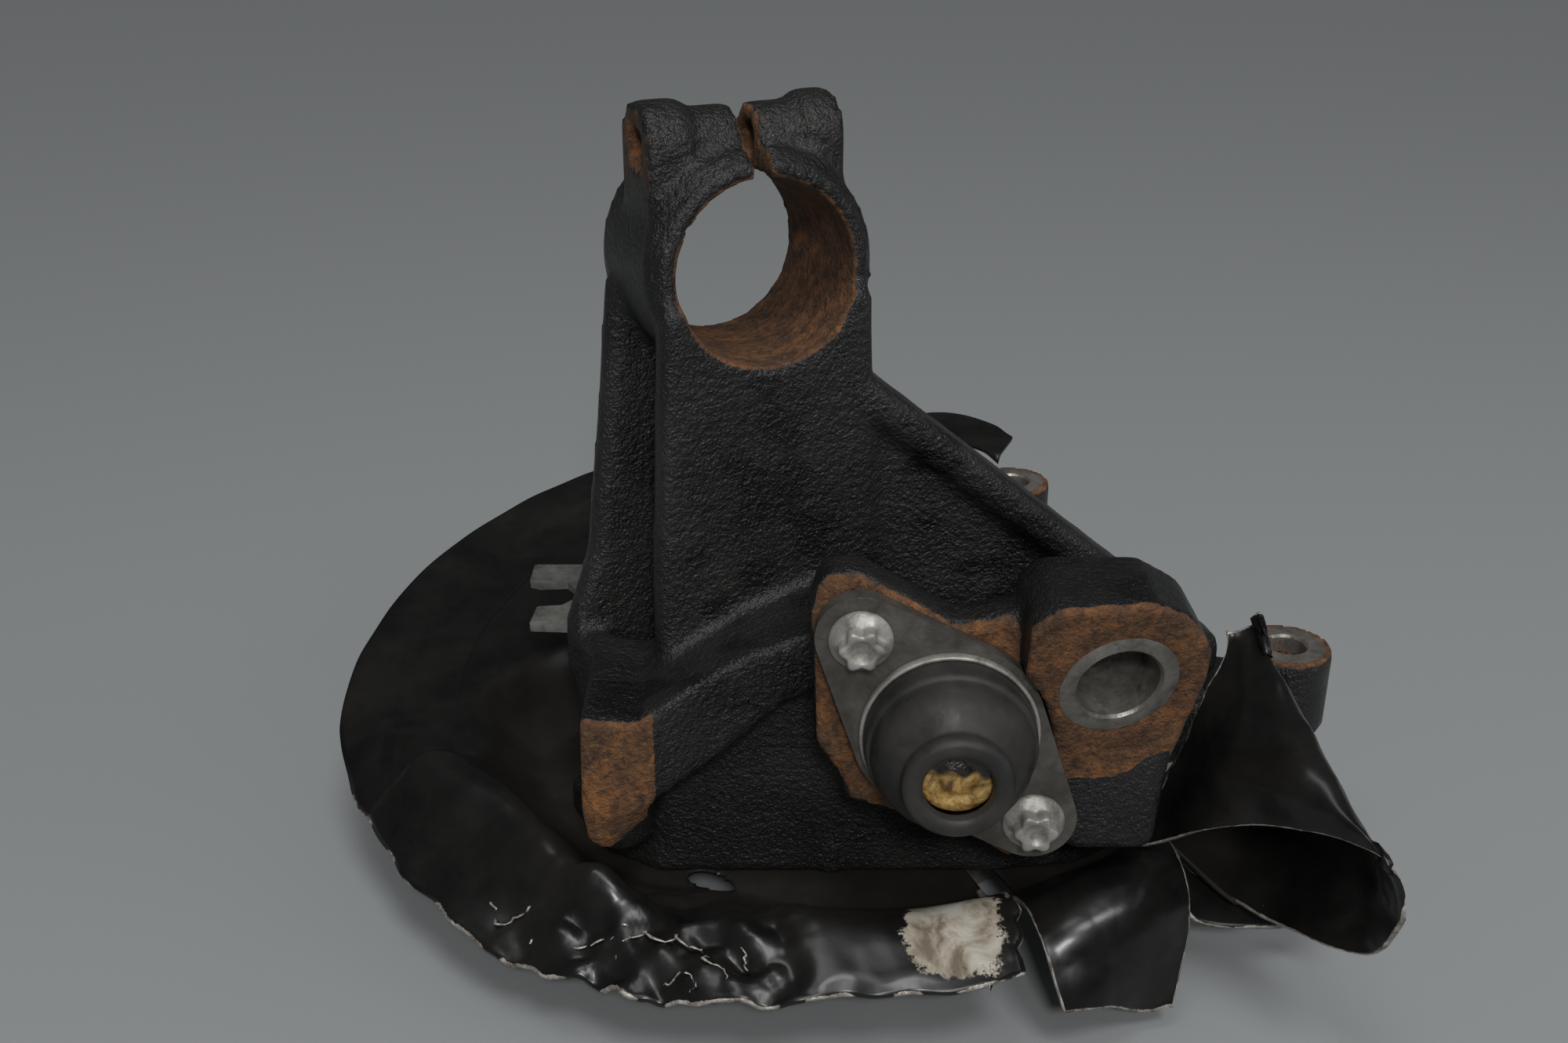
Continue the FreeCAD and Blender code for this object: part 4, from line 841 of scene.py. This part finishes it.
out = onto_oval(round_part, (-47.5, -84.5), math.radians(-35), 8.5, 5.0).ravel()
quads = grid_quads(ROWS, COLUMNS)
inside = (out[quads] <= 1.0001).all(1)
row_angle = (angle * np.ones_like(share)).ravel()[quads].max(1)
row_share = (share * np.ones_like(angle)).ravel()[quads].min(1)
beside_boss = (row_angle < 70.1) & (row_share < 0.84)
quads = quads[~(inside | beside_boss)]
print("faces left:", len(quads))

# %% [markdown]
# ### The folded right part
# Nine rows of given points run from the flat ring outwards over the folds, as one would draw
# strings over the crumpled sheet. A smooth curve along the rows, then across them, turns the 9 by 7
# points into a fine surface. The creases are added along the surface's own normals.

# %% Folded part
TORN = np.array([
    ((43, -83, 24.5), (45, -97, 27), (47, -110, 33), (49, -120, 32), (51, -127, 26), (54, -132, 16)),
    ((58, -80, 24.5), (59, -92, 31), (61, -106, 38), (63, -117, 36), (65, -124, 27), (67, -129, 15)),
    ((73, -74, 24.5), (75, -86, 34), (77, -102, 42), (78, -113, 38), (79, -119, 25), (79, -121, 7)),
    ((86, -66, 24.5), (90, -78, 38), (93, -93, 41), (94, -103, 36), (93, -110, 22), (89, -118, 6)),
    ((93, -63, 24.5), (112, -98, 27), (138, -140, 42), (135, -154, 80), (108, -122, 72), (80, -91, 44)),
    ((98, -58, 24.5), (120, -88, 29), (137, -128, 56), (126, -138, 88), (101, -113, 78), (86, -83, 57)),
    ((101, -55, 24.5), (124, -76, 32), (134, -104, 60), (124, -116, 94), (104, -108, 89), (93, -79, 73)),
    ((103, -49, 24.5), (124, -62, 34), (130, -80, 66), (120, -90, 102), (109, -89, 99), (100, -77, 91)),
    ((104, -42, 24.5), (122, -48, 34), (126, -62, 72), (117, -70, 110), (113, -70, 109), (108, -72, 106)),
], float)
ring = TORN[:, 0] * [1, 1, 0]
ring = ring / np.linalg.norm(ring, axis=1, keepdims=True) * HOLE_R + [0, 0, FLAT_Z]
control = np.concatenate([ring[:, None], TORN], 1)


def smooth_grid(points, row_steps, column_steps):
    """Catmull-Rom surface through a grid of points, first along its rows and then across them."""
    rows, columns, _ = points.shape
    along = np.stack([smooth_line(row, column_steps) for row in points])
    return smooth_line(along.reshape(rows, -1), row_steps).reshape(-1, along.shape[1], 3)


def surface_normals(grid):
    """Unit normals of a grid from the cross product of its two directions."""
    normal = np.cross(np.gradient(grid, axis=1), np.gradient(grid, axis=0))
    return -normal / np.maximum(np.linalg.norm(normal, axis=2, keepdims=True), 1e-9)


def folded_piece(rows, row_steps, column_steps, seed):
    """A part of the folded sheet with creases; returns its grid and how free each point is."""
    grid = smooth_grid(rows, row_steps, column_steps)
    loose = blend(np.arange(grid.shape[1]) / (grid.shape[1] - 1), 0.22, 0.42)[None, :]
    push = (1.0 * wander(grid, 44, seed, 5, True) + 0.45 * wander(grid, 19, seed + 1, 6, True)
            + 0.12 * wander(grid, 8, seed + 2, 6, True)) * loose
    grid = grid + surface_normals(grid) * (push - 0.4)[..., None]
    return grid, loose * np.ones(grid.shape[:2])


flap, flap_free = folded_piece(control[:4], 20, 12, 41)
peak, peak_free = folded_piece(control[4:], 20, 16, 51)
ring_link = smooth_grid(control[2:6, :3], 16, 12)[16:33]
LOW_STRIP = np.array([((90, -78, 38), (93, -93, 41)), ((96, -81, 31), (99, -97, 21)),
                      ((108, -86, 24), (121, -99, 19)), ((122, -84, 22), (141, -96, 19))], float)
low_strip = smooth_grid(LOW_STRIP, 16, 12)
print("folded parts:", flap.shape[:2], peak.shape[:2], ring_link.shape[:2], low_strip.shape[:2])

# %% [markdown]
# ### One object with a thickness
# The parts become one mesh, its doubles are merged, and a Solidify modifier gives the sheet its 1.5 mm
# upwards, as the solid has. Bare metal is painted along the torn edges only, and dust where the sheet
# lies flat.

# %% Shield object
def edge_share(grid_shape, torn_sides, width):
    """1 on the torn sides of a grid, fading to 0 over width rows or columns."""
    rows, columns = grid_shape
    i, j = np.mgrid[0:rows, 0:columns]
    out = np.zeros(grid_shape)
    for side in torn_sides:
        gap = {"first_row": i, "last_row": rows - 1 - i, "last_column": columns - 1 - j}[side]
        out = np.maximum(out, 1 - np.clip(gap / width, 0, 1))
    return out


edge_noise = blend(wander(plan, 13, 62, 7), -0.9, 0.7)
torn_round = edge_share((ROWS, COLUMNS), ["last_column"], 1.1) * crushed * (0.25 + 0.75 * edge_noise)
torn_round = np.maximum(torn_round, edge_share((ROWS, COLUMNS), ["last_row"], 5) * blend(r, 92, 98))
scrape = np.exp(-(((px - 24) / 16) ** 4 + ((py + 121) / 16) ** 4)) * (angle > 240)
ridge_zone = blend(angle, 226, 234) * (1 - blend(angle, 262, 268)) * blend(r, 108, 114)
crease_wear = blend(wander(plan, 12, 61, 6, True), 0.8, 1.5) * ridge_zone
torn_round = np.maximum(torn_round, 0.85 * crease_wear)
dusty = 1 - blend(r, flat_radius(angle) + 4, flat_radius(angle) + 30)
torn_flap = edge_share(flap.shape[:2], ["first_row", "last_row", "last_column"], 1.2) * flap_free
torn_peak = edge_share(peak.shape[:2], ["first_row", "last_row", "last_column"], 1.2) * peak_free
torn_strip = edge_share(low_strip.shape[:2], ["last_column", "last_row"], 0.8) * 0.7


def whole_part(grid, torn, dust):
    """(grid, torn, dust, faces) of a grid that keeps all its faces; torn and dust may be one number."""
    size = grid.shape[:2]
    return grid, torn * np.ones(size), dust * np.ones(size), grid_quads(*size)


parts = ((round_part, torn_round, dusty * np.ones((ROWS, COLUMNS)), quads),
         whole_part(flap, torn_flap, 1 - flap_free), whole_part(peak, torn_peak, 1 - peak_free),
         whole_part(ring_link, 0, 1), whole_part(low_strip, torn_strip, 0))
FOREMOST = -152.2  # no point of the sheet may pass the front of the solids' box


def sheet_object(name, parts, thickness, offset, scraped=0.0):
    """One object from (grid, torn, dust, faces) parts in millimetres, with a Solidify thickness."""
    starts = np.cumsum([0] + [part[0].shape[0] * part[0].shape[1] for part in parts])
    points = np.vstack([part[0].reshape(-1, 3) for part in parts])
    points[:, 1] = np.maximum(points[:, 1], FOREMOST)
    faces = np.vstack([part[3] + start for part, start in zip(parts, starts)])
    made = mesh_object(name, points * MM, faces)
    paint_attribute(made, "torn", np.concatenate([part[1].ravel() for part in parts]))
    paint_attribute(made, "dust", np.concatenate([part[2].ravel() for part in parts]))
    marks = np.zeros(len(points))
    marks[:np.size(scraped)] = np.ravel(scraped)
    paint_attribute(made, "scrape", marks)
    work = bmesh.new()
    work.from_mesh(made.data)
    bmesh.ops.delete(work, geom=[p for p in work.verts if not p.link_faces], context="VERTS")
    bmesh.ops.remove_doubles(work, verts=work.verts, dist=5e-5)
    work.to_mesh(made.data)
    work.free()
    thick = made.modifiers.new("sheet", "SOLIDIFY")
    thick.thickness = thickness * MM
    thick.offset = offset
    return made


shield = sheet_object("dust_shield_skin", parts, SHEET, 1.0, scrape)
dress(shield, "carrier", black_sheet_paint, "dust_shield")

# %% [markdown]
# ### Torn lips
# Where the rolled rim ended, the sheet ripped in short zigzags, and thin lips of metal stand up along
# them. Each lip is a narrow strip along a path of a few points. Its free edge is jagged, curls over and
# shows bare metal, while its foot is still painted.

# %% Lips
LIP_THICKNESS = 0.45
# (x, y) paths along the sheet, each with its height
LIPS = ((((-120, -96), (-111, -100), (-109, -106), (-101, -104), (-98, -100)), 3.6),
        (((-99, -113), (-93, -108), (-88, -105)), 2.2),
        (((-88, -119), (-75, -119), (-72, -114), (-68, -114)), 3.8),
        (((-72, -120), (-65, -119), (-53, -123), (-46, -129), (-40, -135)), 3.6),
        (((-88, -100), (-84, -100), (-81, -105), (-73, -105)), 3.4),
        (((-59, -137), (-54, -133), (-49, -135), (-50, -139)), 2.6),
        (((-37, -127), (-33, -130), (-34, -134)), 3.6),
        (((39, -112), (38, -124), (36, -134), (34, -138)), 2.6))


def torn_lip(path, height, seed):
    """Narrow strip that stands up from the sheet along a path, its free edge jagged and curled over."""
    line = smooth_line(path, 12)
    line = line + 1.1 * np.stack([wander(line, 6, seed, 5, True), wander(line, 6, seed + 1, 5, True)], -1)
    r_line = np.hypot(line[:, 0], line[:, 1])
    angle_line = np.degrees(np.arctan2(line[:, 1], line[:, 0])) % 360
    base = sheet_height(r_line, angle_line)
    side = np.stack([-np.gradient(line[:, 1]), np.gradient(line[:, 0])], -1)
    side /= np.linalg.norm(side, axis=1, keepdims=True)
    t = np.linspace(0, 1, 7)[None, :]
    fade = np.sin(np.pi * np.linspace(0.06, 0.94, len(line)))[:, None] ** 0.5
    tall = height * fade * (0.6 + 0.4 * wander(line, 3.5, seed + 2, 6, True)[:, None])
    lean = (0.5 * t - 1.3 * t ** 2) * tall
    xy = line[:, None] + side[:, None] * lean[..., None]
    return np.concatenate([xy, (base[:, None] - 1.0 + tall * t * (1.4 - 0.5 * t))[..., None]], -1)


lips = [torn_lip(np.array(path, float), height, 70 + 3 * i) for i, (path, height) in enumerate(LIPS)]
lip_parts = [whole_part(lip, 0.10 + 0.75 * edge_share(lip.shape[:2], ["last_column"], 3.5), 0)
             for lip in lips]
torn_lips = sheet_object("torn_lips", lip_parts, LIP_THICKNESS, 0.0)
dress(torn_lips, "carrier", black_sheet_paint)

# %% [markdown]
# ## Studio
# A pale grey floor under broad soft lamps, as plain as can be. The camera stands where the photograph
# was taken: a little above the part, looking down 24 degrees. A small flash behind it gives the gloss
# paint its glints, and two large lamps and a low sky fill the rest.

# %% Floor, lamps and camera
floor_net = Finish("floor_grey", "floor", specular=0.2)
floor_material = floor_net.finish(Base_Color=(0.262, 0.274, 0.278), Roughness=0.85)
REACH, FLOOR_Z = 40, -0.0002
corners = np.array([(-1, -1), (1, -1), (1, 1), (-1, 1)]) * REACH
floor_points = np.hstack([corners, np.full((4, 1), FLOOR_Z)])
floor = mesh_object("studio_floor", floor_points, np.array([[0, 1, 2, 3]]), False)
floor.data.materials.append(floor_material)


def soft_lamp(name, place, target, width, depth, power):
    """Rectangular lamp aimed at a point."""
    lamp = bpy.data.lights.new(name, "AREA")
    lamp.shape = "RECTANGLE"
    lamp.size, lamp.size_y, lamp.energy = width, depth, power
    holder = bpy.data.objects.new(name, lamp)
    holder.location = place
    holder.rotation_euler = (Vector(target) - Vector(place)).to_track_quat("-Z", "Y").to_euler()
    bpy.context.scene.collection.objects.link(holder)


soft_lamp("flash", (0.05, -1.36, 1.02), (0, -0.05, 0.08), 0.22, 0.16, 11)
soft_lamp("side", (1.1, -0.3, 0.75), (0, 0, 0.1), 0.6, 0.6, 2.0)
soft_lamp("ceiling", (-0.15, -0.30, 1.25), (-0.03, -0.05, 0.04), 0.5, 0.32, 2.4)
overhead = bpy.data.lights.new("overhead", "SUN")
overhead.energy, overhead.angle = 0.95, math.radians(16)
holder = bpy.data.objects.new("overhead", overhead)
holder.rotation_euler = Vector((0.22, -0.55, 1.0)).to_track_quat("Z", "Y").to_euler()
bpy.context.scene.collection.objects.link(holder)

world = bpy.data.worlds.new("studio")
world.use_nodes = True
sky = world.node_tree.nodes["Background"]
sky.inputs["Color"].default_value = (0.98, 1.0, 1.0, 1)
path = world.node_tree.nodes.new("ShaderNodeLightPath")
level = world.node_tree.nodes.new("ShaderNodeMapRange")
level.inputs["To Min"].default_value = 0.20
level.inputs["To Max"].default_value = 0.05
world.node_tree.links.new(path.outputs["Is Glossy Ray"], level.inputs["Value"])
world.node_tree.links.new(level.outputs["Result"], sky.inputs["Strength"])
bpy.context.scene.world = world

lens = bpy.data.cameras.new("camera")
LOOK_DOWN = 24.3
lens.lens, lens.sensor_width = 39.1, 36.0
lens.clip_start, lens.clip_end = 0.01, 200
camera = bpy.data.objects.new("camera", lens)
camera.location = (-0.025, -0.520, 0.345)
camera.rotation_euler = (math.radians(90 - LOOK_DOWN), 0, 0)
bpy.context.scene.collection.objects.link(camera)
bpy.context.scene.camera = camera
bpy.context.scene.view_settings.view_transform = "Standard"
print("studio ready")
